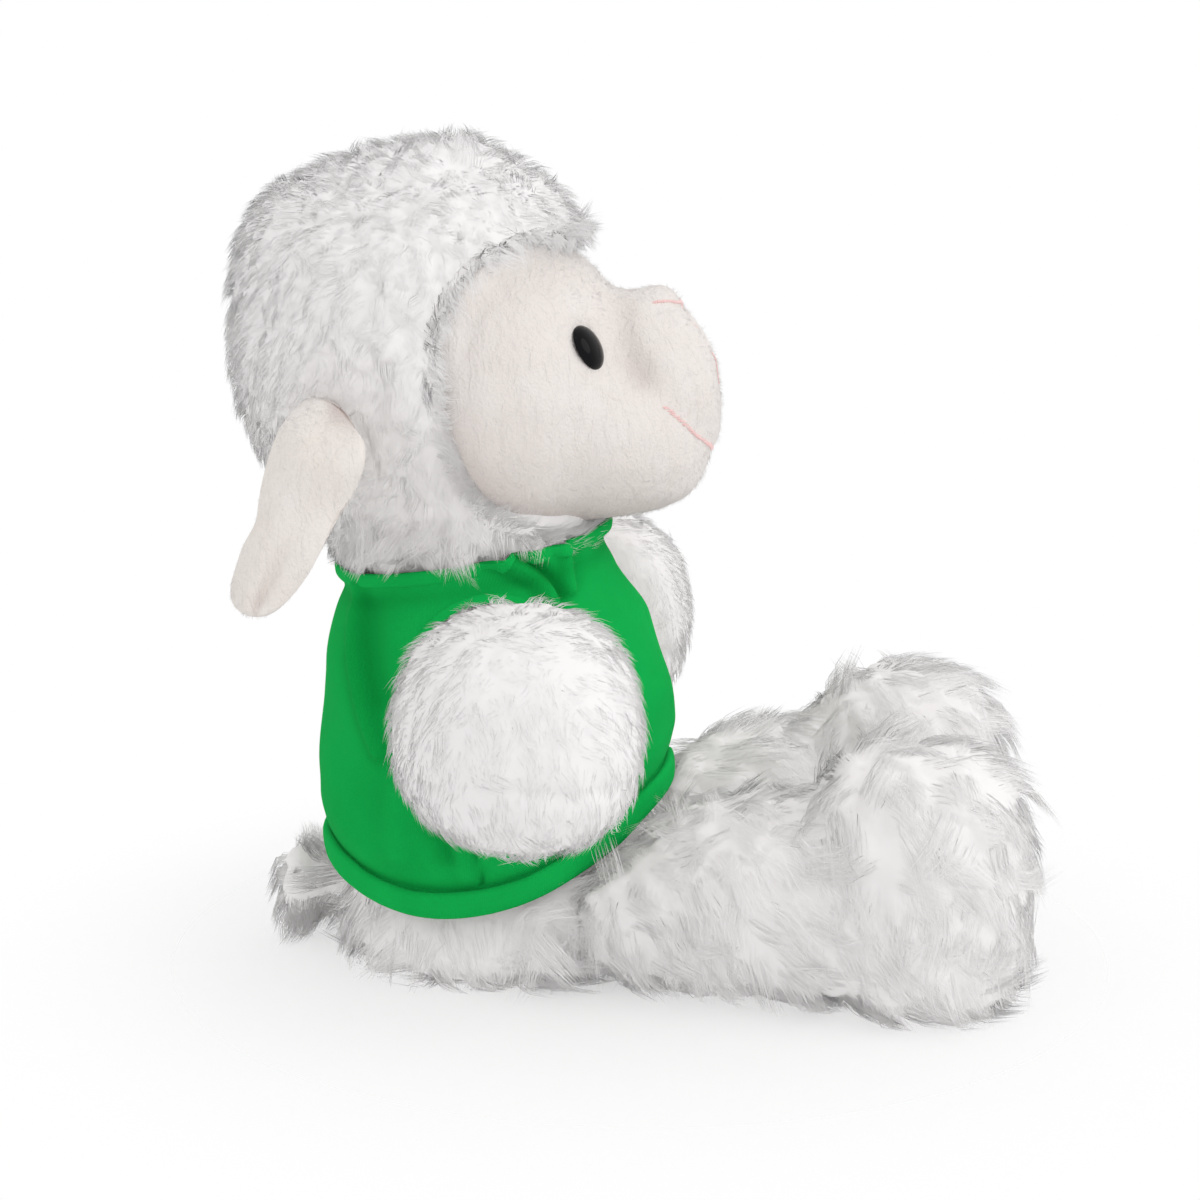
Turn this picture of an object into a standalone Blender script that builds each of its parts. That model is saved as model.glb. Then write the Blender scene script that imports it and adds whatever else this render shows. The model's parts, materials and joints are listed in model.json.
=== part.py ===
"""Seated plush sheep in a sleeveless shirt, as its separate sewn, stuffed and snapped-in pieces.

Metres. The sheep sits on the plane z = 0, faces -Y, and its left side is +X. The origin is under its seat.
"""

import math

import bmesh
import bpy
from mathutils import Matrix, Vector
from mathutils.bvhtree import BVHTree

# Fabrics and fits
SEAM_GAP = 0.0003
WOOL_THICKNESS = 0.005
FACE_CLOTH_THICKNESS = 0.002
EAR_CLOTH_THICKNESS = 0.0015
SHIRT_THICKNESS = 0.0012
FLOOR_CUT = 0.0005
WELD_DISTANCE = 0.00004
SLIVER_LENGTH = 0.00001
CUT_OVERRUN = 0.2

# Facets, as rings along and segments round each kind of form
TORSO_FACETS = (12, 22)
HEAD_FACETS = (12, 20)
FACE_FACETS = (10, 18)
LIMB_FACETS = (10, 16)
INNER_FACETS = (8, 12)
BALL_FACETS = (8, 14)
TURNED_SEGMENTS = 16
SLIM_SEGMENTS = 12
STUB_STEPS = (5, 3, 7)
BROAD_START_SHARE = 0.36
ROUND_BLUNT = 2
SHARP_ANGLE_DEG = 40
STEEP_SHARE = 0.9
PLAIN_SHARES = ((0.0, 1.0, 1.0, 0.0), (1.0, 1.0, 1.0, 0.0))

# Torso
TORSO_WIDTH = 0.082
TORSO_DEPTH = 0.085
TORSO_HEIGHT = 0.102
TORSO_NECK_SHARE = 0.75
TORSO_BLUNT = 5
# share of the height, of the half width, of the half depth, and the shift back as a share of the depth
TORSO_SHARES = (
    (0.00, 1.00, 1.00, 0.01),
    (0.36, 1.00, 1.00, 0.01),
    (0.53, 0.97, 0.97, 0.02),
    (0.66, 0.88, 0.89, 0.04),
    (0.75, 0.78, 0.79, 0.06),
    (0.84, 0.73, 0.74, 0.07),
    (1.00, 0.66, 0.68, 0.08),
)
SIDE_SEAM_BACK = 0.005
PELLET_POUCH_LIFT = 0.0048
PELLET_POUCH_WIDTH = 0.048
PELLET_POUCH_HEIGHT = 0.020
PELLET_POUCH_BLUNT = 2.6

# Neck joint
NECK_TILT_DEG = 10
NECK_BALL_RADIUS = 0.037
NECK_BALL_RISE = 0.0252
NECK_THREAD_RADIUS = 0.0006
NECK_THREAD_FACETS = (24, 5)

# Head
HEAD_WIDTH = 0.100
HEAD_DEPTH = 0.102
HEAD_HEIGHT = 0.110
HEAD_SET_BACK = 0.0086
HEAD_RISE = 0.027

# Face, measured from the middle of the head
CHEEK_WIDTH = 0.084
CHEEK_DEPTH = 0.072
CHEEK_HEIGHT = 0.078
CHEEK_FORWARD = 0.019
CHEEK_DROP = 0.012
STUFFING_CORE_INSET = 0.012
JAW_WIDTH = 0.064
JAW_DEPTH = 0.064
JAW_HEIGHT = 0.046
JAW_FORWARD = 0.038
JAW_DROP = 0.021
SNOUT_LENGTH = 0.060
SNOUT_WIDTH = 0.044
SNOUT_HEIGHT = 0.048
SNOUT_FORWARD = 0.014
SNOUT_DROP = 0.0095
SNOUT_BLUNT = 2.4
SNOUT_SHARES = ((0.0, 1.0, 1.0, 0.0), (0.5, 1.0, 1.0, 0.0), (0.8, 1.02, 1.04, -0.02), (1.0, 1.0, 1.0, -0.08))
FACE_OUTLINE_DEPTH = 0.066
FACE_OUTLINE_HEIGHT = 0.070
FACE_OUTLINE_FORWARD = 0.044
FACE_OUTLINE_DROP = 0.010
FACE_OUTLINE_BLUNT = 2.4
FACE_OUTLINE_STEPS = 16

# Safety eyes, which lock behind the cloth with a washer
EYE_STEPS = 5
EYE_RADIUS = 0.006
EYE_DOME_HEIGHT = 0.0042
EYE_SEAT_DEPTH = 0.0012
EYE_STEM_RADIUS = 0.002
EYE_STEM_LENGTH = 0.011
EYE_SIDE = 0.026
EYE_HEIGHT = 0.002
EYE_AIM = (0.50, 0.74, 0.45)
WASHER_RADIUS = 0.007
WASHER_THICKNESS = 0.0016
WASHER_SETBACK = 0.0015

# Embroidered nose and mouth: how far to the side, forward and up from the middle of the head
THREAD_RADIUS = 0.0006
THREAD_CLEARANCE = 0.0005
NOSE_WING_POINTS = 17
NOSE_LINE_POINTS = 7
MOUTH_POINTS = 25
ON_FACE_ROUNDS = 4
NOSTRIL_SIDE = 0.011
NOSTRIL_FORWARD = 0.058
NOSTRIL_HEIGHT = 0.012
NOSE_TIP_FORWARD = 0.073
NOSE_TIP_HEIGHT = 0.001
NOSE_LINE_LENGTH = 0.014
MOUTH_SIDE = 0.019
MOUTH_CORNER_FORWARD = 0.056
MOUTH_CORNER_HEIGHT = -0.013
MOUTH_MIDDLE_HEIGHT = -0.026

# Drop ears, each of two cloths
EAR_FACETS = (8, 6)
EAR_LENGTH = 0.056
EAR_WIDTH = 0.025
EAR_ROOT_BACK = 0.015
EAR_ROOT_DROP = 0.008
EAR_HINGE_STAND_OFF = 0.0015
EAR_CUP_DEPTH = 0.004
EAR_LEAN_BACK = 0.011
EAR_OUT_DEG = 52
EAR_TIP_OUT_DEG = 4
EAR_BEND_SHARE = 0.625
EAR_ROOT_SHARE = 0.17
EAR_LEAN_POWER = 1.7
EAR_CUP_FADE = 0.7
# share of the length and of the width
EAR_WIDTH_SHARES = (
    (0.00, 0.46),
    (0.14, 0.80),
    (0.32, 1.00),
    (0.60, 0.80),
    (0.85, 0.64),
    (0.95, 0.50),
    (1.00, 0.22),
)

# Arms, each turned round its own length: root ball, neck and paw
ARM_BALL_RADIUS = 0.0165
ARM_NECK_RADIUS = 0.0145
ARM_NECK_END = 0.0125
ARM_FLARE = 0.009
STUB_FLARE_SHARE = 0.86
ARM_PAW_RADIUS = 0.026
ARM_LENGTH = 0.062
ARM_MOUTH_RADIUS = 0.007
ARM_BLUNT = 2.4
SHOULDER_INSET = 0.0035
SHOULDER_DROP = 0.026
SHOULDER_FORWARD = 0.003
ARM_FORWARD_DEG = 14
ARM_DROP_DEG = 2

# Legs with feet turned up
LEG_RADIUS = 0.024
LEG_LENGTH = 0.098
LEG_SIDE = 0.0255
LEG_START = 0.019
LEG_LIFT_OFF = 0.002
LEG_SPLAY_DEG = 11
LEG_BLUNT = 4
# share of the length, of the half width, of the half height, and the drop as a share of the height
LEG_SHARES = (
    (0.00, 0.72, 0.70, -0.150),
    (0.10, 0.77, 0.75, -0.125),
    (0.25, 0.88, 0.855, -0.0725),
    (0.45, 1.00, 0.99, -0.005),
    (0.75, 1.00, 1.00, 0.0),
    (1.00, 0.96, 0.96, 0.0),
)
FOOT_HEIGHT = 0.070
FOOT_DEPTH = 0.058
FOOT_WIDTH = 0.054
FOOT_OUT = 0.085
FOOT_BLUNT = 2.4
HIP_HINGE_OUT = 0.0245
HIP_HINGE_HEIGHT = 0.0435

# Tail, turned like an arm
TAIL_BALL_RADIUS = 0.009
TAIL_NECK_RADIUS = 0.008
TAIL_NECK_END = 0.0075
TAIL_FLARE = 0.006
TAIL_RADIUS = 0.012
TAIL_LENGTH = 0.0195
TAIL_BLUNT = 2.4
TAIL_MOUTH_RADIUS = 0.003
TAIL_HEIGHT = 0.0145
TAIL_INSET = 0.0025
TAIL_ROOT_SHARE = 0.955

# Shirt
HEM_LOW_HEIGHT = 0.018
HEM_LOW_BACK = 0.013
HEM_FRONT_HEIGHT = 0.0445
HEM_WIDTH = 0.0072
HEM_THICKNESS = 0.002
HEM_STEPS = 20
COLLAR_STAND = 0.0015
COLLAR_WIDTH = 0.0055
COLLAR_THICKNESS = 0.0018
ARMHOLE_SEGMENTS = 24
ARMHOLE_RADIUS = 0.018
BINDING_WIDTH = 0.0025
BINDING_THICKNESS = 0.0018

SIDES = (("right", -1), ("left", 1))
UP = Vector((0, 0, 1))
FORWARD = Vector((0, -1, 0))
LEFT = Vector((1, 0, 0))


# Materials

COLOURS = {
    "wool_pile": ((0.87, 0.86, 0.86), 0.95),
    "face_velour": ((0.86, 0.80, 0.76), 0.90),
    "ear_velour": ((0.88, 0.83, 0.78), 0.90),
    "fibre_fill": ((0.93, 0.93, 0.92), 1.00),
    "pellet_cloth": ((0.80, 0.79, 0.76), 0.85),
    "shirt_jersey": ((0.018, 0.36, 0.075), 0.85),
    "eye_plastic": ((0.008, 0.008, 0.009), 0.12),
    "washer_plastic": ((0.82, 0.82, 0.80), 0.40),
    "pink_thread": ((0.86, 0.42, 0.41), 0.60),
    "white_thread": ((0.85, 0.85, 0.84), 0.70),
}


def material(name):
    """The named material, made once."""
    found = bpy.data.materials.get(name)
    if found:
        return found
    colour, roughness = COLOURS[name]
    made = bpy.data.materials.new(name)
    made.use_nodes = True
    shader = made.node_tree.nodes["Principled BSDF"]
    shader.inputs["Base Color"].default_value = (*colour, 1)
    shader.inputs["Roughness"].default_value = roughness
    shader.inputs["Metallic"].default_value = 0
    return made


# Mesh helpers


def new_object(name, mesh):
    made = bpy.data.objects.new(name, mesh)
    bpy.context.scene.collection.objects.link(made)
    return made


def object_from(name, build):
    """An object whose mesh the function build fills."""
    mesh = bpy.data.meshes.new(name)
    shape = bmesh.new()
    build(shape)
    bmesh.ops.recalc_face_normals(shape, faces=shape.faces)
    shape.to_mesh(mesh)
    shape.free()
    return new_object(name, mesh)


def combined(target, operation, *others):
    """Target after one Boolean with each of the others, which are used up."""
    for other in others:
        modifier = target.modifiers.new(operation, "BOOLEAN")
        modifier.operation = operation
        modifier.solver = "EXACT"
        modifier.object = other
    mesh = bpy.data.meshes.new_from_object(target.evaluated_get(bpy.context.evaluated_depsgraph_get()))
    target.modifiers.clear()
    target.data = mesh
    for other in others:
        bpy.data.objects.remove(other)
    return target


def welded(target):
    """Target with the slivers that Booleans leave merged away."""
    shape = bmesh.new()
    shape.from_mesh(target.data)
    bmesh.ops.remove_doubles(shape, verts=shape.verts, dist=WELD_DISTANCE)
    bmesh.ops.dissolve_degenerate(shape, edges=shape.edges, dist=SLIVER_LENGTH)
    shape.to_mesh(target.data)
    shape.free()
    return target


def cut(target, *cutters):
    return combined(target, "DIFFERENCE", *cutters)


def joined(target, *others):
    return combined(target, "UNION", *others)


def kept(target, *regions):
    return combined(target, "INTERSECT", *regions)


def finished(target, name, material_name):
    """Target as a named sub-part: one material, and smooth where it is round."""
    welded(target)
    target.name = name
    target.data.name = name
    target.data.materials.clear()
    target.data.materials.append(material(material_name))
    target.data.shade_smooth()
    target.data.set_sharp_from_angle(angle=math.radians(SHARP_ANGLE_DEG))
    return target


def skinned(name, rings, start=None, end=None):
    """A closed skin over rings of points, with a pole or a flat fan at each end."""

    def build(shape):
        loops = [[shape.verts.new(point) for point in ring] for ring in rings]
        count = len(loops[0])
        for a, b in zip(loops, loops[1:]):
            for i in range(count):
                j = (i + 1) % count
                shape.faces.new((a[i], a[j], b[j], b[i]))
        for loop, tip in ((loops[0], start), (loops[-1], end)):
            if tip is None:
                shape.faces.new(loop)
                continue
            pole = shape.verts.new(tip)
            for i in range(count):
                shape.faces.new((loop[i], loop[(i + 1) % count], pole))

    return object_from(name, build)


def box(name, low, high, turn=None, origin=None):
    """A box between two corners, turned by a matrix and then moved to an origin."""

    def build(shape):
        bmesh.ops.create_cube(shape, size=1)
        low_corner, high_corner = Vector(low), Vector(high)
        for vertex in shape.verts:
            place = [a if c < 0 else b for a, b, c in zip(low_corner, high_corner, vertex.co)]
            vertex.co = Vector(place)
        if turn is not None:
            bmesh.ops.transform(shape, matrix=turn.to_4x4(), verts=shape.verts)
        if origin is not None:
            bmesh.ops.translate(shape, vec=origin, verts=shape.verts)

    return object_from(name, build)


def side_prism(name, outline, half_width):
    """A prism along X over an outline of (y, z) points."""
    rings = [[Vector((x, y, z)) for y, z in outline] for x in (-half_width, half_width)]
    return skinned(name, rings)


def frame_of(axis, side):
    """The unit axis, side and third direction of a form."""
    axis = axis.normalized()
    third = axis.cross(side).normalized()
    return axis, third.cross(axis).normalized(), third


def turned(name, origin, axis, profile, segments=TURNED_SEGMENTS):
    """A closed turned form: profile is (along, radius) from end to end, with radius 0 at a pole."""
    along, side, third = frame_of(axis, UP if abs(axis.normalized().z) < STEEP_SHARE else LEFT)
    angles = [2 * math.pi * i / segments for i in range(segments)]

    def ring(place, radius):
        return [
            origin + along * place + (side * math.cos(a) + third * math.sin(a)) * radius for a in angles
        ]

    rings = [ring(place, radius) for place, radius in profile if radius > 0]
    start = origin + along * profile[0][0] if profile[0][1] == 0 else None
    end = origin + along * profile[-1][0] if profile[-1][1] == 0 else None
    return skinned(name, rings, start, end)


def rod(name, start, end, radius, segments=TURNED_SEGMENTS):
    length = (end - start).length
    return turned(name, start, end - start, ((0, radius), (length, radius)), segments)


def share_at(table, t):
    """The smooth curve through a table of (t, value, ...) rows."""
    rows = list(table)
    last = len(rows) - 1
    i = next((n for n in range(last) if t <= rows[n + 1][0]), last - 1)
    before, low, high, after = rows[max(i - 1, 0)], rows[i], rows[i + 1], rows[min(i + 2, last)]
    span = high[0] - low[0]
    u = min(max((t - low[0]) / span, 0), 1)
    found = []
    for k in range(1, len(low)):
        slope_low = (high[k] - before[k]) / (high[0] - before[0]) * span
        slope_high = (after[k] - low[k]) / (after[0] - low[0]) * span
        found.append(
            low[k] * (2 * u**3 - 3 * u**2 + 1)
            + slope_low * (u**3 - 2 * u**2 + u)
            + high[k] * (3 * u**2 - 2 * u**3)
            + slope_high * (u**3 - u**2)
        )
    return found


def swelling(
    name,
    origin,
    axis,
    side,
    size,
    shares=PLAIN_SHARES,
    blunt=ROUND_BLUNT,
    grow=0,
    facets=LIMB_FACETS,
    broad_start=False,
):
    """A stuffed form from origin along axis, sized (length, width, depth) and grown evenly by grow."""
    along, across, third = frame_of(axis, side)
    length, width, depth = size
    rings, segments = facets
    turns = [math.pi * n / rings for n in range(1, rings)]
    if broad_start:
        turns.insert(0, turns[0] * BROAD_START_SHARE)
    loops = []
    for turn in turns:
        t = (1 - math.cos(turn)) / 2
        wide, deep, shift = share_at(shares, t)
        rounding = (1 - abs(math.cos(turn)) ** blunt) ** (1 / blunt)
        centre = origin + along * (t * (length + 2 * grow) - grow) + third * (shift * depth)
        half_width = (width / 2 * wide + grow) * rounding
        half_depth = (depth / 2 * deep + grow) * rounding
        loops.append(
            [
                centre + across * math.cos(a) * half_width + third * math.sin(a) * half_depth
                for a in (2 * math.pi * i / segments for i in range(segments))
            ]
        )
    first_shift, last_shift = share_at(shares, 0)[2], share_at(shares, 1)[2]
    start = origin - along * grow + third * (first_shift * depth)
    end = origin + along * (length + grow) + third * (last_shift * depth)
    return skinned(name, loops, start, end)


# Places that several pieces share

NECK_AXIS = Matrix.Rotation(math.radians(-NECK_TILT_DEG), 3, "X") @ UP
NECK_CENTRE = Vector((0, TORSO_DEPTH * share_at(TORSO_SHARES, TORSO_NECK_SHARE)[2], TORSO_HEIGHT))
NECK_PIVOT = NECK_CENTRE + NECK_AXIS * NECK_BALL_RISE
HEAD_CENTRE = NECK_PIVOT - FORWARD * HEAD_SET_BACK + UP * HEAD_RISE


def shoulder(side):
    """A shoulder's pivot and the way its arm points."""
    height = TORSO_HEIGHT - SHOULDER_DROP
    wide = TORSO_WIDTH / 2 * share_at(TORSO_SHARES, height * TORSO_NECK_SHARE / TORSO_HEIGHT)[0]
    pivot = Vector((side * (wide - SHOULDER_INSET), -SHOULDER_FORWARD, height))
    forward, drop = math.radians(ARM_FORWARD_DEG), math.radians(ARM_DROP_DEG)
    flat = LEFT * side * math.cos(forward) + FORWARD * math.sin(forward)
    return pivot, (flat * math.cos(drop) - UP * math.sin(drop)).normalized()


def leg_line(side):
    """The start of a leg on the floor and the way it points."""
    splay = math.radians(LEG_SPLAY_DEG)
    along = FORWARD * math.cos(splay) + LEFT * side * math.sin(splay)
    return LEFT * side * LEG_SIDE + FORWARD * LEG_START, along


def tail_pivot():
    return Vector((0, TORSO_DEPTH / 2 * TAIL_ROOT_SHARE - TAIL_INSET, TAIL_HEIGHT))


# Forms, each of which can be grown or shrunk evenly


def torso_form(grow=0, facets=TORSO_FACETS):
    length = TORSO_HEIGHT / TORSO_NECK_SHARE
    origin = -UP * FLOOR_CUT
    size = (length, TORSO_WIDTH, TORSO_DEPTH)
    return swelling("torso_form", origin, UP, LEFT, size, TORSO_SHARES, TORSO_BLUNT, grow, facets, True)


def floor_block():
    """Everything below the floor plane."""
    return box("floor_block", (-CUT_OVERRUN, -CUT_OVERRUN, -CUT_OVERRUN), (CUT_OVERRUN, CUT_OVERRUN, 0))


def above_neck(rise):
    """Everything above the tilted neck plane, raised by rise."""
    tilt = Matrix.Rotation(math.radians(-NECK_TILT_DEG), 3, "X")
    low, high = (-CUT_OVERRUN, -CUT_OVERRUN, 0), (CUT_OVERRUN, CUT_OVERRUN, CUT_OVERRUN)
    return box("above_neck", low, high, tilt, NECK_CENTRE + NECK_AXIS * rise)


def ball_at(place, axis, radius, facets=BALL_FACETS):
    origin = place - axis * radius
    size = (2 * radius, 2 * radius, 2 * radius)
    return swelling("ball", origin, axis, LEFT, size, facets=facets)


def socket_at(place, axis, radius, facets=BALL_FACETS):
    """A hollow whose flattest facets still clear a ball of the radius by the seam gap."""
    rings, segments = facets
    clear = (radius + SEAM_GAP) / math.cos(math.pi / segments) / math.cos(math.pi / rings / 2)
    return ball_at(place, axis, clear, facets)


def egg_at(name, centre, width, depth, height, grow, facets):
    """An egg round a centre, as wide, deep and high as stated."""
    origin = centre - UP * height / 2
    return swelling(name, origin, UP, LEFT, (height, width, depth), grow=grow, facets=facets)


def skull_form(grow=0, facets=HEAD_FACETS):
    skull = egg_at("skull_form", HEAD_CENTRE, HEAD_WIDTH, HEAD_DEPTH, HEAD_HEIGHT, grow, facets)
    return joined(skull, ball_at(NECK_PIVOT, NECK_AXIS, NECK_BALL_RADIUS + grow, facets))


def cheek_form(grow=0, facets=FACE_FACETS):
    centre = HEAD_CENTRE + FORWARD * CHEEK_FORWARD - UP * CHEEK_DROP
    return egg_at("cheek_form", centre, CHEEK_WIDTH, CHEEK_DEPTH, CHEEK_HEIGHT, grow, facets)


def face_form(grow=0, facets=FACE_FACETS):
    """Cheeks, jaw and snout as one form."""
    jaw_at = HEAD_CENTRE + FORWARD * JAW_FORWARD - UP * JAW_DROP
    snout_at = HEAD_CENTRE + FORWARD * SNOUT_FORWARD - UP * SNOUT_DROP
    jaw = egg_at("jaw", jaw_at, JAW_WIDTH, JAW_DEPTH, JAW_HEIGHT, grow, facets)
    size = (SNOUT_LENGTH, SNOUT_WIDTH, SNOUT_HEIGHT)
    snout = swelling("snout", snout_at, FORWARD, LEFT, size, SNOUT_SHARES, SNOUT_BLUNT, grow, facets)
    return joined(cheek_form(grow, facets), jaw, snout)


def face_region(grow=0):
    """The prism across the head that the face cloth fills, open to the front."""
    centre_y = HEAD_CENTRE.y - FACE_OUTLINE_FORWARD
    centre_z = HEAD_CENTRE.z - FACE_OUTLINE_DROP
    half_depth, half_height = FACE_OUTLINE_DEPTH / 2 + grow, FACE_OUTLINE_HEIGHT / 2 + grow
    power = 2 / FACE_OUTLINE_BLUNT
    outline = []
    for i in range(FACE_OUTLINE_STEPS + 1):
        a = math.pi * (i / FACE_OUTLINE_STEPS - 1 / 2)
        back = max(0, math.cos(a)) ** power
        height = math.copysign(abs(math.sin(a)) ** power, math.sin(a))
        outline.append((centre_y + back * half_depth, centre_z + height * half_height))
    outline.append((centre_y - FACE_OUTLINE_DEPTH, centre_z + half_height))
    outline.append((centre_y - FACE_OUTLINE_DEPTH, centre_z - half_height))
    return side_prism("face_region", outline, HEAD_WIDTH)


def ball_and_stub(ball, neck, neck_end, flare, radius, length, blunt, grow):
    """The profile of an arm or tail: root ball, neck, flare and a round end."""
    ball_out, neck_out = ball + grow, neck + grow
    profile = [(-ball_out, 0)]
    leave = math.asin(neck_out / ball_out)
    ball_steps, flare_steps, end_steps = STUB_STEPS
    for n in range(1, ball_steps + 1):
        a = math.pi + (leave - math.pi) * n / ball_steps
        profile.append((ball_out * math.cos(a), ball_out * math.sin(a)))
    full = neck_end + flare
    swell = radius - neck
    for n in range(flare_steps + 1):
        u = n / flare_steps
        wide = swell * STUB_FLARE_SHARE * (1 - math.cos(math.pi * u)) / 2
        profile.append((neck_end + flare * u, neck_out + wide))
    for n in range(1, end_steps):
        a = math.pi / 2 * n / end_steps
        rest = STUB_FLARE_SHARE + (1 - STUB_FLARE_SHARE) * math.sin(min(2 * a, math.pi / 2))
        rounding = (1 - math.sin(a) ** blunt) ** (1 / blunt)
        profile.append((full + (length + grow - full) * math.sin(a), (neck_out + swell * rest) * rounding))
    profile.append((length + grow, 0))
    return profile


def arm_form(side, grow=0, segments=TURNED_SEGMENTS):
    pivot, along = shoulder(side)
    profile = ball_and_stub(
        ARM_BALL_RADIUS,
        ARM_NECK_RADIUS,
        ARM_NECK_END,
        ARM_FLARE,
        ARM_PAW_RADIUS,
        ARM_LENGTH,
        ARM_BLUNT,
        grow,
    )
    return turned("arm_form", pivot, along, profile, segments)


def tail_form(grow=0):
    profile = ball_and_stub(
        TAIL_BALL_RADIUS,
        TAIL_NECK_RADIUS,
        TAIL_NECK_END,
        TAIL_FLARE,
        TAIL_RADIUS,
        TAIL_LENGTH,
        TAIL_BLUNT,
        grow,
    )
    return turned("tail_form", tail_pivot(), -FORWARD, profile, SLIM_SEGMENTS)


def leg_form(side, grow=0, facets=LIMB_FACETS):
    """A leg and its turned-up foot as one form."""
    start, along = leg_line(side)
    across = UP.cross(along)
    leg_origin = start + UP * (LEG_LIFT_OFF + LEG_RADIUS)
    size = (LEG_LENGTH, 2 * LEG_RADIUS, 2 * LEG_RADIUS)
    leg = swelling("leg_form", leg_origin, along, across, size, LEG_SHARES, LEG_BLUNT, grow, facets)
    foot_origin = start + along * FOOT_OUT - UP * FLOOR_CUT
    size = (FOOT_HEIGHT + FLOOR_CUT, FOOT_WIDTH, FOOT_DEPTH)
    foot = swelling("foot", foot_origin, UP, across, size, PLAIN_SHARES, FOOT_BLUNT, grow, facets, True)
    return joined(leg, foot)


# Torso pieces


def sockets():
    """The round hollows that the neck, arm and tail balls turn in."""
    made = [socket_at(NECK_PIVOT, NECK_AXIS, NECK_BALL_RADIUS, HEAD_FACETS)]
    for _, side in SIDES:
        made.append(socket_at(shoulder(side)[0], UP, ARM_BALL_RADIUS))
    made.append(socket_at(tail_pivot(), UP, TAIL_BALL_RADIUS, INNER_FACETS))
    return made


def half_space(sign, gap):
    """Everything in front of the side seam for sign -1, or behind it for 1, less half the gap."""
    seam = SIDE_SEAM_BACK + sign * gap / 2
    ends = sorted((seam, seam + sign * CUT_OVERRUN))
    low, high = (-CUT_OVERRUN, ends[0], -CUT_OVERRUN), (CUT_OVERRUN, ends[1], CUT_OVERRUN)
    return box("half_space", low, high)


def pellet_pouch_middle():
    return UP * (WOOL_THICKNESS + PELLET_POUCH_LIFT + PELLET_POUCH_HEIGHT / 2)


def pellet_pouch_form(grow=0):
    """The flat bag of pellets that weights the seat."""
    origin = pellet_pouch_middle() - UP * PELLET_POUCH_HEIGHT / 2
    size = (PELLET_POUCH_HEIGHT, PELLET_POUCH_WIDTH, PELLET_POUCH_WIDTH)
    return swelling("pellet_pouch_form", origin, UP, LEFT, size, blunt=PELLET_POUCH_BLUNT, grow=grow)


def build_torso():
    for name, sign in (("torso_front_cover", -1), ("torso_back_cover", 1)):
        hollow = torso_form(-WOOL_THICKNESS, INNER_FACETS)
        cover = cut(torso_form(), hollow, floor_block(), above_neck(0), *sockets())
        finished(kept(cover, half_space(sign, SEAM_GAP)), name, "wool_pile")
    inside = -(WOOL_THICKNESS + SEAM_GAP)
    stuffing = cut(torso_form(inside, INNER_FACETS), above_neck(inside), *sockets())
    pouch_way = rod("pouch_way", Vector((0, 0, 0)), pellet_pouch_middle(), PELLET_POUCH_WIDTH / 2 + SEAM_GAP)
    finished(cut(stuffing, pellet_pouch_form(SEAM_GAP), pouch_way), "torso_stuffing", "fibre_fill")
    finished(pellet_pouch_form(), "seat_pellet_pouch", "pellet_cloth")


def build_tail():
    start = tail_pivot() + FORWARD * TAIL_BALL_RADIUS * 2
    mouth = rod("mouth", start, tail_pivot(), TAIL_MOUTH_RADIUS, SLIM_SEGMENTS)
    finished(cut(tail_form(), tail_form(-WOOL_THICKNESS), mouth), "tail_cover", "wool_pile")
    finished(tail_form(-WOOL_THICKNESS - SEAM_GAP), "tail_stuffing", "fibre_fill")


# Neck and head pieces


def neck_thread():
    """The thread ring that closes the neck, on the torso's rim and clear of the head's round underside."""
    clear = NECK_THREAD_RADIUS + SEAM_GAP
    rise = NECK_BALL_RISE - clear
    count, around = NECK_THREAD_FACETS
    ring_radius = math.sqrt((NECK_BALL_RADIUS + clear) ** 2 - rise**2) / math.cos(math.pi / count)
    along, side, third = frame_of(NECK_AXIS, LEFT)
    centre = NECK_PIVOT - NECK_AXIS * rise

    def build(shape):
        loops = []
        for i in range(count):
            a = 2 * math.pi * i / count
            out = side * math.cos(a) + third * math.sin(a)
            loop = []
            for j in range(around):
                b = 2 * math.pi * j / around
                reach = ring_radius + NECK_THREAD_RADIUS * math.cos(b)
                loop.append(shape.verts.new(centre + out * reach + along * NECK_THREAD_RADIUS * math.sin(b)))
            loops.append(loop)
        for i in range(count):
            a, b = loops[i], loops[(i + 1) % count]
            for j in range(around):
                k = (j + 1) % around
                shape.faces.new((a[j], a[k], b[k], b[j]))

    return object_from("neck_thread", build)


def head_half(side, gap):
    """Everything on one side of the middle seam."""
    ends = sorted((side * gap / 2, side * CUT_OVERRUN))
    low, high = (ends[0], -CUT_OVERRUN, -CUT_OVERRUN), (ends[1], CUT_OVERRUN, CUT_OVERRUN + HEAD_HEIGHT)
    return box("head_half", low, high)


def surface_of(target):
    """A search tree over an object's faces."""
    target.data.calc_loop_triangles()
    points = [vertex.co.copy() for vertex in target.data.vertices]
    return BVHTree.FromPolygons(points, [t.vertices for t in target.data.loop_triangles])


def eye_frame(surface, side):
    """An eye's place on the face and the way it looks."""
    aim = (LEFT * side * EYE_AIM[0] + FORWARD * EYE_AIM[1] + UP * EYE_AIM[2]).normalized()
    near = HEAD_CENTRE + LEFT * side * EYE_SIDE + FORWARD * CHEEK_FORWARD + UP * EYE_HEIGHT
    place, _, _, _ = surface.ray_cast(near, FORWARD)
    return place - aim * EYE_SEAT_DEPTH, aim


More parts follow.
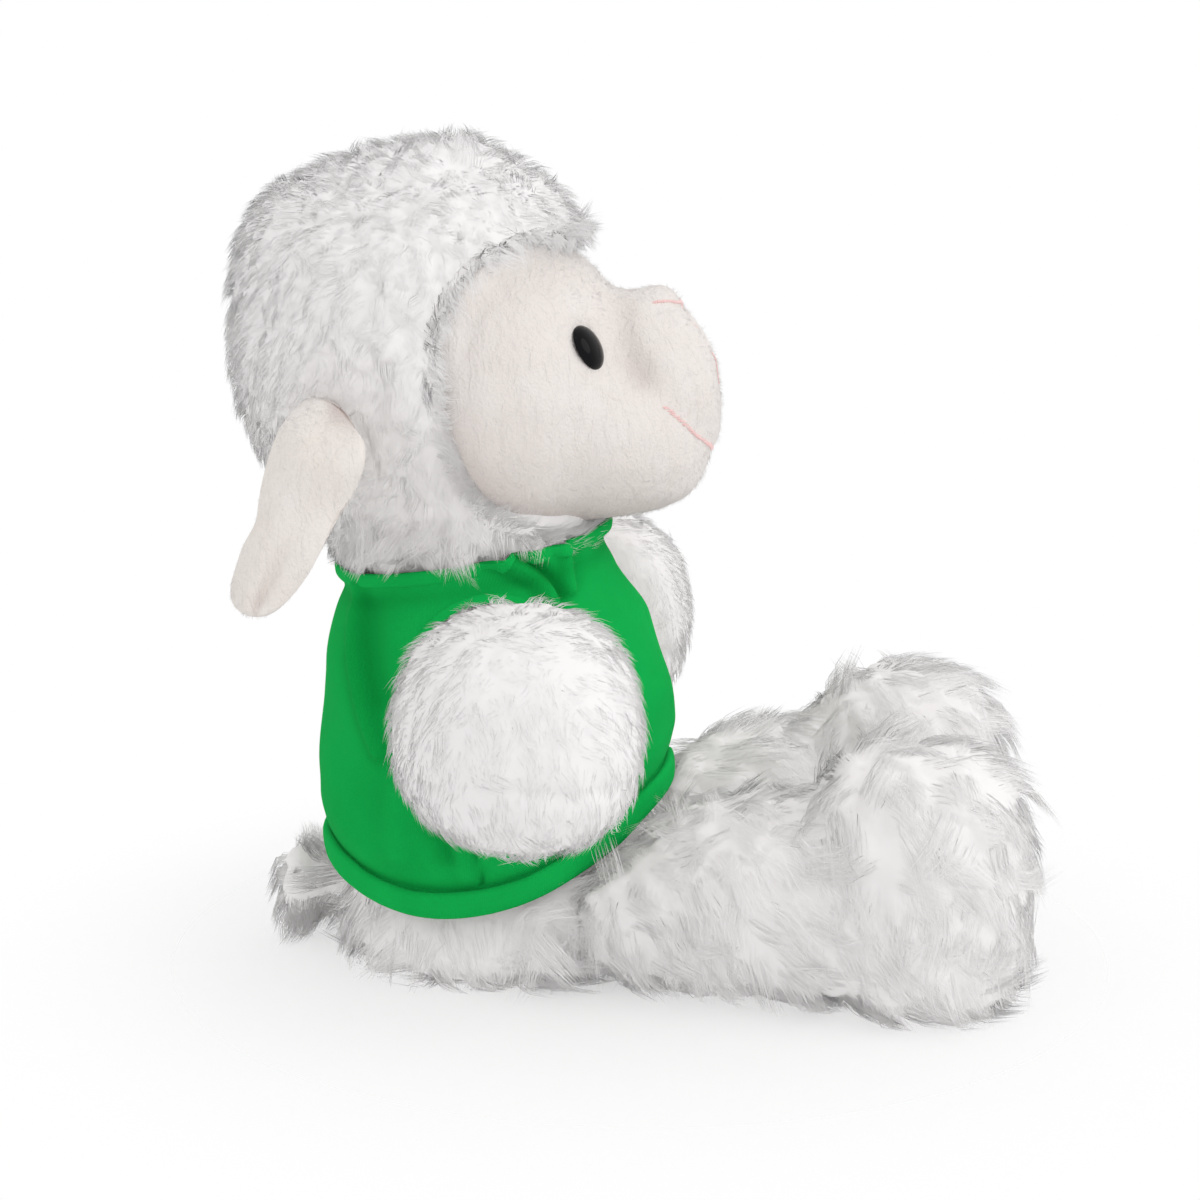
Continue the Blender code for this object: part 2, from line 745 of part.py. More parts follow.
def eye_form(place, aim, grow=0):
    """Dome and stem of a safety eye in one piece."""
    profile = [(-EYE_STEM_LENGTH - grow, EYE_STEM_RADIUS + grow), (-grow, EYE_STEM_RADIUS + grow)]
    for n in range(EYE_STEPS):
        a = math.pi / 2 * n / EYE_STEPS
        height = (EYE_DOME_HEIGHT + 2 * grow) * math.sin(a) - grow
        profile.append((height, (EYE_RADIUS + grow) * math.cos(a)))
    profile.append((EYE_DOME_HEIGHT + grow, 0))
    return turned("eye_form", place, aim, profile)


def eye_stem(place, aim):
    """The hole that an eye's stem takes through its washer."""
    return rod("eye_stem", place - aim * (EYE_STEM_LENGTH + EYE_RADIUS), place, EYE_STEM_RADIUS + SEAM_GAP)


def washer_form(place, aim, grow=0):
    top = -(FACE_CLOTH_THICKNESS + WASHER_SETBACK)
    start = place + aim * (top - WASHER_THICKNESS - grow)
    return rod("washer_form", start, place + aim * (top + grow), WASHER_RADIUS + grow)


def thread_tube(points, radius):
    """A round thread through points, as a mesh with closed ends."""
    curve = bpy.data.curves.new("thread", "CURVE")
    curve.dimensions = "3D"
    curve.bevel_depth = radius
    curve.bevel_resolution = 0
    curve.use_fill_caps = True
    line = curve.splines.new("POLY")
    line.points.add(len(points) - 1)
    for target, point in zip(line.points, points):
        target.co = (*point, 1)
    made = new_object("thread", curve)
    mesh = bpy.data.meshes.new_from_object(made.evaluated_get(bpy.context.evaluated_depsgraph_get()))
    bpy.data.objects.remove(made)
    shape = bmesh.new()
    shape.from_mesh(mesh)
    bmesh.ops.remove_doubles(shape, verts=shape.verts, dist=SLIVER_LENGTH)
    bmesh.ops.recalc_face_normals(shape, faces=shape.faces)
    shape.to_mesh(mesh)
    shape.free()
    return new_object("thread", mesh)


def along_curve(corners, count):
    """Points on a smooth curve through corners."""
    table = [(i / (len(corners) - 1), *corner) for i, corner in enumerate(corners)]
    return [Vector(share_at(table, n / (count - 1))) for n in range(count)]


def on_face(surface, side, forward, up):
    """A thread's middle where it lies on the face nearest to a place given from the middle of the head."""
    clear = THREAD_RADIUS + THREAD_CLEARANCE
    place = HEAD_CENTRE + LEFT * side + FORWARD * forward + UP * up
    point, normal, _, _ = surface.find_nearest(place)
    place = point + normal * clear
    for _ in range(ON_FACE_ROUNDS):
        point, normal, _, distance = surface.find_nearest(place)
        place += normal * max(0, clear - distance)
    return place


def nose_lines(surface):
    """The two thread lines of the nose: a shallow V over the top and a line down the front."""
    half_forward = (NOSTRIL_FORWARD + NOSE_TIP_FORWARD) / 2
    half_up = (NOSTRIL_HEIGHT * 2 + NOSE_TIP_HEIGHT) / 3
    wing = [
        (-NOSTRIL_SIDE, NOSTRIL_FORWARD, NOSTRIL_HEIGHT),
        (-NOSTRIL_SIDE / 2, half_forward, half_up),
        (0, NOSE_TIP_FORWARD, NOSE_TIP_HEIGHT),
        (NOSTRIL_SIDE / 2, half_forward, half_up),
        (NOSTRIL_SIDE, NOSTRIL_FORWARD, NOSTRIL_HEIGHT),
    ]
    down = [(0, NOSE_TIP_FORWARD, NOSE_TIP_HEIGHT - NOSE_LINE_LENGTH * share) for share in (0, 0.5, 1)]
    return [
        [on_face(surface, *point) for point in along_curve(wing, NOSE_WING_POINTS)],
        [on_face(surface, *point) for point in along_curve(down, NOSE_LINE_POINTS)],
    ]


def mouth_line(surface):
    """The smile under the snout, from one corner to the other."""
    half_up = (MOUTH_CORNER_HEIGHT + MOUTH_MIDDLE_HEIGHT * 2) / 3
    half_forward = (MOUTH_CORNER_FORWARD + NOSE_TIP_FORWARD) / 2
    smile = [
        (-MOUTH_SIDE, MOUTH_CORNER_FORWARD, MOUTH_CORNER_HEIGHT),
        (-MOUTH_SIDE / 2, half_forward, half_up),
        (0, NOSE_TIP_FORWARD, MOUTH_MIDDLE_HEIGHT),
        (MOUTH_SIDE / 2, half_forward, half_up),
        (MOUTH_SIDE, MOUTH_CORNER_FORWARD, MOUTH_CORNER_HEIGHT),
    ]
    return [on_face(surface, *point) for point in along_curve(smile, MOUTH_POINTS)]


def build_head():
    whole_face = face_form()
    surface = surface_of(whole_face)
    bpy.data.objects.remove(whole_face)
    eyes = {name: eye_frame(surface, side) for name, side in SIDES}
    nose, mouth = nose_lines(surface), mouth_line(surface)
    inside_wool = -(WOOL_THICKNESS + SEAM_GAP)
    inside_face = -(FACE_CLOTH_THICKNESS + SEAM_GAP)
    for name, side in SIDES:
        wool = cut(skull_form(), skull_form(-WOOL_THICKNESS, INNER_FACETS), face_region(SEAM_GAP))
        finished(kept(wool, head_half(side, SEAM_GAP)), f"head_wool_{name}", "wool_pile")
        face = kept(cut(face_form(), face_form(-FACE_CLOTH_THICKNESS, INNER_FACETS)), face_region())
        face = cut(face, eye_form(*eyes[name], SEAM_GAP))
        finished(kept(face, head_half(side, SEAM_GAP)), f"face_{name}", "face_velour")
        finished(eye_form(*eyes[name]), f"eye_{name}", "eye_plastic")
        finished(cut(washer_form(*eyes[name]), eye_stem(*eyes[name])), f"eye_washer_{name}", "washer_plastic")
    behind_face = cut(skull_form(inside_wool, INNER_FACETS), face_region(SEAM_GAP))
    in_face = kept(face_form(inside_face, INNER_FACETS), face_region(-SEAM_GAP))
    stuffing = joined(behind_face, in_face, cheek_form(-STUFFING_CORE_INSET, INNER_FACETS))
    for name, side in SIDES:
        stuffing = cut(stuffing, eye_form(*eyes[name], SEAM_GAP), washer_form(*eyes[name], SEAM_GAP))
    finished(stuffing, "head_stuffing", "fibre_fill")
    nose_threads = [thread_tube(line, THREAD_RADIUS) for line in nose]
    finished(joined(*nose_threads), "nose_embroidery", "pink_thread")
    finished(thread_tube(mouth, THREAD_RADIUS), "mouth_embroidery", "pink_thread")
    finished(neck_thread(), "neck_closing_thread", "white_thread")


# Ears


def ear_hinge(side):
    """The root of an ear, just off the side of the head."""
    back, drop = EAR_ROOT_BACK / (HEAD_DEPTH / 2), EAR_ROOT_DROP / (HEAD_HEIGHT / 2)
    reach = HEAD_WIDTH / 2 * math.sqrt(1 - back**2 - drop**2) + EAR_HINGE_STAND_OFF
    return HEAD_CENTRE + LEFT * side * reach - FORWARD * EAR_ROOT_BACK - UP * EAR_ROOT_DROP


def ear_sheet(name, side, near, far):
    """One cloth of a drop ear, between two distances from the ear's middle surface."""
    rows, columns = EAR_FACETS
    steps = [Vector((0, 0, 0))]
    bends = []
    for i in range(rows + 1):
        t = i / rows
        out = math.radians(EAR_OUT_DEG + (EAR_TIP_OUT_DEG - EAR_OUT_DEG) * min(1, t / EAR_BEND_SHARE))
        bends.append(out)
        if i:
            middle = (bends[-1] + bends[-2]) / 2
            step = (LEFT * side * math.sin(middle) - UP * math.cos(middle)) * EAR_LENGTH / rows
            steps.append(steps[-1] + step)

    def point(i, j, off):
        t = i / rows
        u = 2 * j / columns - 1
        half = EAR_WIDTH / 2 * share_at(EAR_WIDTH_SHARES, t)[0]
        out = LEFT * side * math.cos(bends[i]) + UP * math.sin(bends[i])
        lean = EAR_LEAN_BACK * t**EAR_LEAN_POWER
        cup = EAR_CUP_DEPTH * (1 - t) ** EAR_CUP_FADE * (u**2 - 1 / 2) * min(1, t / EAR_ROOT_SHARE)
        return ear_hinge(side) + steps[i] - FORWARD * (u * half + lean) + out * (cup + off)

    def build(shape):
        def grid(off):
            return [[shape.verts.new(point(i, j, off)) for j in range(columns + 1)] for i in range(rows + 1)]

        low, high = grid(near), grid(far)
        for i in range(rows):
            for j in range(columns):
                shape.faces.new((low[i][j], low[i][j + 1], low[i + 1][j + 1], low[i + 1][j]))
                shape.faces.new((high[i][j], high[i + 1][j], high[i + 1][j + 1], high[i][j + 1]))
        for i in range(rows):
            for j in (0, columns):
                shape.faces.new((low[i][j], low[i + 1][j], high[i + 1][j], high[i][j]))
        for j in range(columns):
            for i in (0, rows):
                shape.faces.new((low[i][j], low[i][j + 1], high[i][j + 1], high[i][j]))

    return object_from(name, build)


def build_ears():
    for name, side in SIDES:
        edge = SEAM_GAP / 2
        inner = ear_sheet("inner", side, -edge - EAR_CLOTH_THICKNESS, -edge)
        outer = ear_sheet("outer", side, edge, edge + EAR_CLOTH_THICKNESS)
        finished(inner, f"ear_{name}_inner", "ear_velour")
        finished(outer, f"ear_{name}_outer", "ear_velour")


# Arms and legs


def build_arms():
    for name, side in SIDES:
        pivot, along = shoulder(side)
        mouth = rod("mouth", pivot - along * ARM_BALL_RADIUS * 2, pivot, ARM_MOUTH_RADIUS, SLIM_SEGMENTS)
        cover = cut(arm_form(side), arm_form(side, -WOOL_THICKNESS, SLIM_SEGMENTS), mouth)
        finished(cover, f"arm_{name}_cover", "wool_pile")
        stuffing = arm_form(side, -WOOL_THICKNESS - SEAM_GAP, SLIM_SEGMENTS)
        finished(stuffing, f"arm_{name}_stuffing", "fibre_fill")


def hem_height(y, rise=0):
    """The height of the shirt's lower edge at a distance back, raised by rise."""
    front = -TORSO_DEPTH / 2
    bend = (HEM_FRONT_HEIGHT - HEM_LOW_HEIGHT) / (front - HEM_LOW_BACK) ** 2
    return HEM_LOW_HEIGHT + bend * (y - HEM_LOW_BACK) ** 2 + rise


def below_hem(rise=0):
    """Everything under the hem line, raised by rise."""
    outline = []
    for i in range(HEM_STEPS + 1):
        y = TORSO_DEPTH * (2 * i / HEM_STEPS - 1)
        outline.append((y, hem_height(y, rise)))
    outline += [(TORSO_DEPTH, -CUT_OVERRUN), (-TORSO_DEPTH, -CUT_OVERRUN)]
    return side_prism("below_hem", outline, CUT_OVERRUN)


def build_legs():
    hem_room = SEAM_GAP + HEM_THICKNESS + SEAM_GAP
    for name, side in SIDES:
        outside = cut(leg_form(side), torso_form(SEAM_GAP), floor_block())
        outside = cut(outside, cut(torso_form(hem_room), below_hem(-SEAM_GAP)))
        hollow = leg_form(side, -WOOL_THICKNESS, INNER_FACETS)
        finished(cut(outside, hollow), f"leg_{name}_cover", "wool_pile")
        stuffing = cut(leg_form(side, -WOOL_THICKNESS - SEAM_GAP, INNER_FACETS), torso_form(SEAM_GAP))
        finished(stuffing, f"leg_{name}_stuffing", "fibre_fill")


# Shirt


def garment(thickness):
    """A shell of cloth all round the torso, just off it."""
    return cut(torso_form(SEAM_GAP + thickness), torso_form(SEAM_GAP))


def armhole(side, radius):
    pivot, along = shoulder(side)
    start = pivot - along * ARM_BALL_RADIUS
    return rod("armhole", start, pivot + along * TORSO_WIDTH, radius, ARMHOLE_SEGMENTS)


def build_shirt():
    collar_low = COLLAR_STAND - COLLAR_WIDTH
    binding_out = ARMHOLE_RADIUS + BINDING_WIDTH
    for name, sign in (("shirt_front", -1), ("shirt_back", 1)):
        panel = garment(SHIRT_THICKNESS)
        panel = cut(panel, above_neck(collar_low - SEAM_GAP), below_hem(HEM_WIDTH + SEAM_GAP))
        panel = cut(panel, *(armhole(side, binding_out + SEAM_GAP) for _, side in SIDES))
        finished(kept(panel, half_space(sign, SEAM_GAP)), name, "shirt_jersey")
    collar = cut(kept(garment(COLLAR_THICKNESS), above_neck(collar_low)), above_neck(COLLAR_STAND))
    finished(collar, "shirt_collar_band", "shirt_jersey")
    hem = cut(kept(garment(HEM_THICKNESS), below_hem(HEM_WIDTH)), below_hem())
    finished(hem, "shirt_hem_band", "shirt_jersey")
    for name, side in SIDES:
        binding = kept(garment(BINDING_THICKNESS), armhole(side, binding_out))
        finished(cut(binding, armhole(side, ARMHOLE_RADIUS)), f"shirt_armhole_binding_{name}", "shirt_jersey")


def main():
    for old in list(bpy.data.objects):
        bpy.data.objects.remove(old)
    build_torso()
    build_tail()
    build_head()
    build_ears()
    build_arms()
    build_legs()
    build_shirt()


main()
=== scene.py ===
import json
import math
from contextlib import contextmanager

import bpy
import numpy as np
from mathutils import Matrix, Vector
from mathutils.bvhtree import BVHTree
from mathutils.kdtree import KDTree


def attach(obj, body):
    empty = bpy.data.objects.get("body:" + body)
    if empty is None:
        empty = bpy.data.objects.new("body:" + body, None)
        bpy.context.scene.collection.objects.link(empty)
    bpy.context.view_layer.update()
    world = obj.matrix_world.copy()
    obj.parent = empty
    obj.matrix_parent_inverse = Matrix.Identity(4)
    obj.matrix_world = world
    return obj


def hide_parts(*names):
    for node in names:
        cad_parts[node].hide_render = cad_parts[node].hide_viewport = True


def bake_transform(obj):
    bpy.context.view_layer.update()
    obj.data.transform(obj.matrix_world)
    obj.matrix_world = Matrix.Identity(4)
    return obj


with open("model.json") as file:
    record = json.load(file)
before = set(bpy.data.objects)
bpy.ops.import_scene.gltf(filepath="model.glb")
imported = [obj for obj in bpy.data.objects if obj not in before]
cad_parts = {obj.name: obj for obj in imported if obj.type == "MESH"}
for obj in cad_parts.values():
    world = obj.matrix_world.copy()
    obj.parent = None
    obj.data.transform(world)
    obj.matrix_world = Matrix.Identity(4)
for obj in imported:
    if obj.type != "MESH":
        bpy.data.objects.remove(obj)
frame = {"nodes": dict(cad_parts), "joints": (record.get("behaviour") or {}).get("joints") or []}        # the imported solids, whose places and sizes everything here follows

nodes = frame["nodes"]
joints = {joint["name"]: Vector(joint["pos_m"]) for joint in frame["joints"]}
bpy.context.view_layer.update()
sides = {"right": -1, "left": 1}
print("frame loaded:", len(nodes), "solids")


# Working by hand: selecting, editing, applying

def pick(*objects):
    bpy.ops.object.select_all(action="DESELECT")
    for item in objects:
        item.select_set(True)
    bpy.context.view_layer.objects.active = objects[0]


@contextmanager
def editing(piece):                     # in edit mode, with the whole mesh selected
    pick(piece)
    bpy.ops.object.mode_set(mode="EDIT")
    bpy.ops.mesh.select_all(action="SELECT")
    yield
    bpy.ops.object.mode_set(mode="OBJECT")


def applied(piece, kind, **values):
    modifier = piece.modifiers.new(kind.lower(), kind)
    for key, value in values.items():
        setattr(modifier, key, value)
    pick(piece)
    bpy.ops.object.modifier_apply(modifier=modifier.name)
    return piece


def smoothShaded(piece):
    pick(piece)
    bpy.ops.object.shade_smooth()
    return piece


def named(name):                        # the primitive just added, under its own name
    piece = bpy.context.active_object
    piece.name = name
    piece.data.name = name
    return piece


def pointsOf(piece):
    points = np.empty(len(piece.data.vertices) * 3)
    piece.data.vertices.foreach_get("co", points)
    return points.reshape(-1, 3)


def normalsOf(piece):
    normals = np.empty(len(piece.data.vertices) * 3)
    piece.data.vertices.foreach_get("normal", normals)
    return normals.reshape(-1, 3)


def movePoints(piece, points):
    piece.data.vertices.foreach_set("co", np.asarray(points, dtype=np.float32).ravel())
    piece.data.update()


def toned(mesh, tones):                 # the share of its dark colour that a material reads at each point: random tone, and painted shade in creases, hollows, folds, beside seams and at fibre roots
    values = np.clip(tones, 0, 1).astype(np.float32).ravel()
    mesh.attributes.new("tone", "FLOAT", "POINT").data.foreach_set("value", values)


def treeOf(piece):
    return BVHTree.FromObject(piece, bpy.context.evaluated_depsgraph_get())


# Shaping: directions, soft steps and routes

def unit(vectors):
    return vectors / np.maximum(np.linalg.norm(vectors, axis=-1, keepdims=True), 1e-9)


def ramp(values, low, high):            # a soft step up from 0 at low to 1 at high
    share = np.clip((np.asarray(values) - low) / (high - low), 0, 1)
    return share * share * (3 - 2 * share)


def fall(values, low, high):            # a soft step down from 1 at low to 0 at high
    return ramp(-np.asarray(values), -high, -low)


def bell(values, width):                # a soft bump of 1 at zero
    return np.exp(-(values / width) ** 2)


def flatOn(ups, ways):                  # what the ways have along the surface
    return ways - ups * (ups * ways).sum(axis=1, keepdims=True)


def combTowards(*way):                  # lays a pile one way all over
    return lambda points, ups: flatOn(ups, np.zeros_like(points) + way)


def alongRoute(route, shares):          # points at shares of the way along a rounded route
    route = np.array(route, dtype=float)
    for _ in range(3):
        cut = [route[0]]
        for first, second in zip(route[:-1], route[1:]):
            cut += [first * 0.75 + second * 0.25, first * 0.25 + second * 0.75]
        route = np.array(cut + [route[-1]])
    steps = np.concatenate([[0], np.cumsum(np.linalg.norm(np.diff(route, axis=0), axis=1))])
    places = np.asarray(shares) * steps[-1]
    return np.stack([np.interp(places, steps, route[:, axis]) for axis in range(route.shape[1])], axis=1)


def routeGap(points, route):            # how far each point is from a line of points
    gaps = np.full(len(points), 1e9)
    for first, second in zip(route[:-1], route[1:]):
        step = second - first
        share = np.clip(((points - first) @ step) / (step @ step), 0, 1)
        gaps = np.minimum(gaps, np.linalg.norm(points - first - share[:, None] * step, axis=1))
    return gaps


# Skins: one closed form over a cover and its filling, blown up and set back by the depth of its pile

fillWork = {"weld": 0.00001, "pressure": 4, "steps": 12, "quality": 3}
woolForm = {"voxel": 0.0026, "smoothing": 4, "fill": 0.8, "blown": 0.001, "setBack": 0, "finer": 1}


def copiesOf(*sources):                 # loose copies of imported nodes, joined into one object
    copies = []
    for source in sources:
        twin = bpy.data.objects.new(source, nodes[source].data.copy())
        bpy.context.scene.collection.objects.link(twin)
        copies.append(twin)
    pick(*copies)
    if len(copies) > 1:
        bpy.ops.object.join()
    piece = bpy.context.active_object
    piece.data.materials.clear()
    with editing(piece):
        bpy.ops.mesh.remove_doubles(threshold=fillWork["weld"])
        bpy.ops.mesh.normals_make_consistent(inside=False)
    return piece


def solidOf(name, form, *sources):
    piece = copiesOf(*sources)
    piece.name = name
    piece.data.name = name
    applied(piece, "REMESH", mode="VOXEL", voxel_size=form["voxel"])
    pick(piece)
    bpy.ops.mesh.separate(type="LOOSE")            # what is left of the hollows goes
    islands = sorted(bpy.context.selected_objects, key=lambda item: -max(item.dimensions))
    for item in islands[1:]:
        bpy.data.objects.remove(item)
    if islands[0] is not piece:
        raise RuntimeError("the outer skin was split off " + name)
    with editing(piece):
        bpy.ops.mesh.vertices_smooth(factor=0.5, repeat=form["smoothing"])
    return smoothShaded(piece)


def stuffed(piece, form):
    # cloth over filling: pressure blows it up, and no point moves further than the form's blown
    rest = pointsOf(piece)
    cloth = piece.modifiers.new("cloth", "CLOTH")
    cloth.settings.quality = fillWork["quality"]
    cloth.settings.use_pressure = True
    cloth.settings.uniform_pressure_force = fillWork["pressure"]
    cloth.settings.effector_weights.gravity = 0
    for step in range(1, fillWork["steps"] + 1):
        bpy.context.scene.frame_set(step)
    shown = piece.evaluated_get(bpy.context.evaluated_depsgraph_get())
    blown = np.empty(len(rest) * 3)
    shown.data.vertices.foreach_get("co", blown)
    piece.modifiers.clear()
    bpy.context.scene.frame_set(1)
    step = blown.reshape(-1, 3) - rest
    length = np.linalg.norm(step, axis=1, keepdims=True)
    movePoints(piece, rest + step * np.minimum(1, form["blown"] / np.maximum(length, 1e-9)))
    return piece


def skinOf(name, form, *sources):
    skin = solidOf(name, form, *sources)
    stuffed(skin, form)
    if form["setBack"]:
        applied(skin, "DISPLACE", strength=-form["setBack"], mid_level=0)
    if form["finer"]:
        applied(skin, "SUBSURF", levels=form["finer"], render_levels=form["finer"])
    return skin


def dressed(piece, material, body, slot, *replaced):
    # gives a piece its material and the body that it rides on, and hides the nodes it stands for; a piece
    # given two bodies is only baked in place
    piece.data.materials.clear()
    piece.data.materials.append(material)
    if isinstance(body, str):
        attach(piece, body)
    else:
        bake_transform(piece)
    if replaced:
        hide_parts(*replaced)
    return piece


# Node groups

def newGroup(name, inputs, outputs):
    group = bpy.data.node_groups.new(name, "ShaderNodeTree")
    for socket, kind, value in inputs:
        made = group.interface.new_socket(name=socket, in_out="INPUT", socket_type="NodeSocket" + kind)
        made.default_value = value
    for socket, kind in outputs:
        group.interface.new_socket(name=socket, in_out="OUTPUT", socket_type="NodeSocket" + kind)
    return group, group.nodes.new("NodeGroupInput"), group.nodes.new("NodeGroupOutput")


def addNode(tree, kind, values=None, **sockets):
    # a node with its settings, and its sockets linked or set by name, or by number as i0, i1
    node = tree.nodes.new("ShaderNode" + kind)
    for key, value in (values or {}).items():
        setattr(node, key, value)
    for key, value in sockets.items():
        socket = node.inputs[int(key[1:])] if key[0] == "i" and key[1:].isdigit() else node.inputs[key]
        if isinstance(value, bpy.types.NodeSocket):
            tree.links.new(value, socket)
        else:
            socket.default_value = value
    return node


def addMath(tree, operation, first, second=0.0):
    return addNode(tree, "Math", {"operation": operation}, i0=first, i1=second).outputs[0]


def addMix(tree, share, first, second):
    return addNode(tree, "Mix", {"data_type": "RGBA"}, Factor=share, i6=first, i7=second).outputs[2]


def addGroup(tree, group, **sockets):
    node = tree.nodes.new("ShaderNodeGroup")
    node.node_tree = group
    for key, value in sockets.items():
        key = key.replace("_", " ")
        if isinstance(value, bpy.types.NodeSocket):
            tree.links.new(value, node.inputs[key])
        else:
            node.inputs[key].default_value = value
    return node


def placeOf(tree):
    return addNode(tree, "TexCoord").outputs["Object"]


def toneOf(tree):
    return addNode(tree, "Attribute", {"attribute_name": "tone"}).outputs["Fac"]


def newMaterial(name, roughness, **constants):
    material = bpy.data.materials.new(name)
    material.use_nodes = True
    tree = material.node_tree
    shader = tree.nodes["Principled BSDF"]
    shader.inputs["Roughness"].default_value = roughness
    for key, value in constants.items():
        shader.inputs[key.replace("_", " ")].default_value = value
    return material, tree, shader


patchLook = {"detail": 3.0, "from": 0.35, "to": 0.68}


def patchGroup(look):
    # soft light and dark patches of a pile, from noise over the object
    group, given, out = newGroup(
        "softPatches",
        [("Light", "Color", (1, 1, 1, 1)), ("Dark", "Color", (0.8, 0.8, 0.8, 1)),
         ("Patch size", "Float", 120.0), ("Tone", "Float", 0.5)],
        [("Color", "Color"), ("Mask", "Float")])
    size = given.outputs["Patch size"]
    wide = addNode(group, "TexNoise", None, Vector=placeOf(group), Scale=size, Detail=look["detail"])
    mask = addNode(group, "MapRange", None, i0=wide.outputs[0], i1=look["from"], i2=look["to"])
    share = addMath(group, "MULTIPLY", mask.outputs[0], given.outputs["Tone"])
    group.links.new(addMix(group, share, given.outputs["Light"], given.outputs["Dark"]), out.inputs["Color"])
    group.links.new(mask.outputs[0], out.inputs["Mask"])
    return group


napLook = {"detail": 2.0, "turn": (0.5, 0.2, 0.3), "stretch": (1.0, 1.0, 0.38), "brushDetail": 4.0,
           "twist": 1.2, "from": 0.42, "to": 0.66, "streaks": 0.7}


def napGroup(look):
    # short nap of a velour: fine grain, and soft streaks where a hand has brushed it
    group, given, out = newGroup(
        "shortNap",
        [("Grain", "Float", 1500.0), ("Brush", "Float", 160.0), ("Depth", "Float", 0.0004),
         ("Strength", "Float", 0.4)],
        [("Normal", "Vector"), ("Mask", "Float")])
    place = placeOf(group)
    fine = addNode(group, "TexNoise", None, Vector=place, Scale=given.outputs["Grain"], Detail=look["detail"])
    lay = addNode(group, "Mapping", None, Vector=place, i2=look["turn"], i3=look["stretch"])
    brushed = addNode(group, "TexNoise", None, Vector=lay.outputs[0], Scale=given.outputs["Brush"],
                      Detail=look["brushDetail"], Distortion=look["twist"])
    streaks = addNode(group, "MapRange", None, i0=brushed.outputs[0], i1=look["from"], i2=look["to"])
    streaked = addMath(group, "MULTIPLY", streaks.outputs[0], look["streaks"])
    height = addMath(group, "ADD", streaked, fine.outputs[0])
    bump = addNode(group, "Bump", None, Strength=given.outputs["Strength"], Distance=given.outputs["Depth"],
                   Height=height)
    group.links.new(bump.outputs[0], out.inputs["Normal"])
    group.links.new(streaks.outputs[0], out.inputs["Mask"])
    return group


knitLook = {"slant": 1.4, "stitch": 0.6, "ridge": 0.4, "fluff": 0.5, "fluffScale": 2200.0, "fluffDetail": 2.0}


def knitGroup(look):
    # wales of a jersey knit on the piece's own uv map, which is in metres
    group, given, out = newGroup(
        "jerseyKnit",
        [("Wale", "Float", 0.0008), ("Course", "Float", 0.0006), ("Depth", "Float", 0.0002),
         ("Strength", "Float", 0.6)],
        [("Normal", "Vector"), ("Mask", "Float")])
    split = addNode(group, "SeparateXYZ", None, i0=addNode(group, "UVMap", {"uv_map": "weave"}).outputs[0])
    across = addMath(group, "DIVIDE", split.outputs[0], given.outputs["Wale"])
    leg = addMath(group, "ABSOLUTE", addMath(group, "SUBTRACT", addMath(group, "FRACT", across), 0.5))
    down = addMath(group, "DIVIDE", split.outputs[1], given.outputs["Course"])
    slant = addMath(group, "MULTIPLY", leg, look["slant"])
    slanted = addMath(group, "FRACT", addMath(group, "ADD", down, slant))
    stitch = addMath(group, "SINE", addMath(group, "MULTIPLY", slanted, math.pi))
    ridge = addMath(group, "SINE", addMath(group, "MULTIPLY", leg, 2 * math.pi))
    raised = addMath(group, "ADD", addMath(group, "MULTIPLY", stitch, look["stitch"]), look["ridge"])
    knit = addMath(group, "MULTIPLY", ridge, raised)
    fluff = addNode(group, "TexNoise", None, Vector=placeOf(group), Scale=look["fluffScale"],
                    Detail=look["fluffDetail"])
    height = addMath(group, "ADD", knit, addMath(group, "MULTIPLY", fluff.outputs[0], look["fluff"]))
    bump = addNode(group, "Bump", None, Strength=given.outputs["Strength"], Distance=given.outputs["Depth"],
                   Height=height)
    group.links.new(bump.outputs[0], out.inputs["Normal"])
    group.links.new(knit, out.inputs["Mask"])
    return group


softPatches = patchGroup(patchLook)
shortNap = napGroup(napLook)
jerseyKnit = knitGroup(knitLook)


# Materials

def woolMaterial(name, light, dark, patch, passing):
    material, tree, shader = newMaterial(name, 0.95, Sheen_Weight=0.3, Sheen_Roughness=0.6,
                                         Specular_IOR_Level=0.05)
    # the tone attribute picks the dark colour: random from lock to lock, and painted shade towards each
    # fibre's root
    cloud = addGroup(tree, softPatches, Light=(*light, 1), Dark=(*dark, 1), Patch_size=patch,
                     Tone=toneOf(tree))
    tree.links.new(cloud.outputs["Color"], shader.inputs["Base Color"])
    if passing:                         # fine fibres let most of the light through to those below
        path = addNode(tree, "LightPath")
        clear = addNode(tree, "BsdfTransparent")
        passed = addMath(tree, "MAXIMUM", path.outputs["Is Shadow Ray"], path.outputs["Is Diffuse Ray"])
        share = addMath(tree, "MULTIPLY", passed, passing)
        mixed = addNode(tree, "MixShader", None, i0=share, i1=shader.outputs[0], i2=clear.outputs[0])
        tree.links.new(mixed.outputs[0], tree.nodes["Material Output"].inputs["Surface"])
    return material


woolFinish = {
    "woolSkin": {"light": (0.955, 0.935, 0.93), "dark": (0.90, 0.875, 0.865), "patch": 170.0, "passing": 0},
    "woolFibre": {"light": (0.985, 0.968, 0.962), "dark": (0.90, 0.875, 0.865), "patch": 170.0,
                  "passing": 0.92},
    "velourFibre": {"light": (0.93, 0.885, 0.855), "dark": (0.82, 0.745, 0.70), "patch": 150.0,
                    "passing": 0.92},
}
# the shade colour is painted shade, which the velour takes on where its tone attribute is high
velourLook = {"brush": 330.0, "depth": 0.0005, "strength": 0.6, "patch": 80.0, "tone": 0.55,
              "streakTone": 0.9, "streakLeast": 0.20, "shade": (0.66, 0.565, 0.535)}
velourFinish = {
    "creamVelour": {"light": (0.885, 0.835, 0.80), "dark": (0.83, 0.765, 0.725), "grain": 1500.0},
    "earVelour": {"light": (0.90, 0.85, 0.81), "dark": (0.86, 0.79, 0.73), "grain": 1300.0},
}


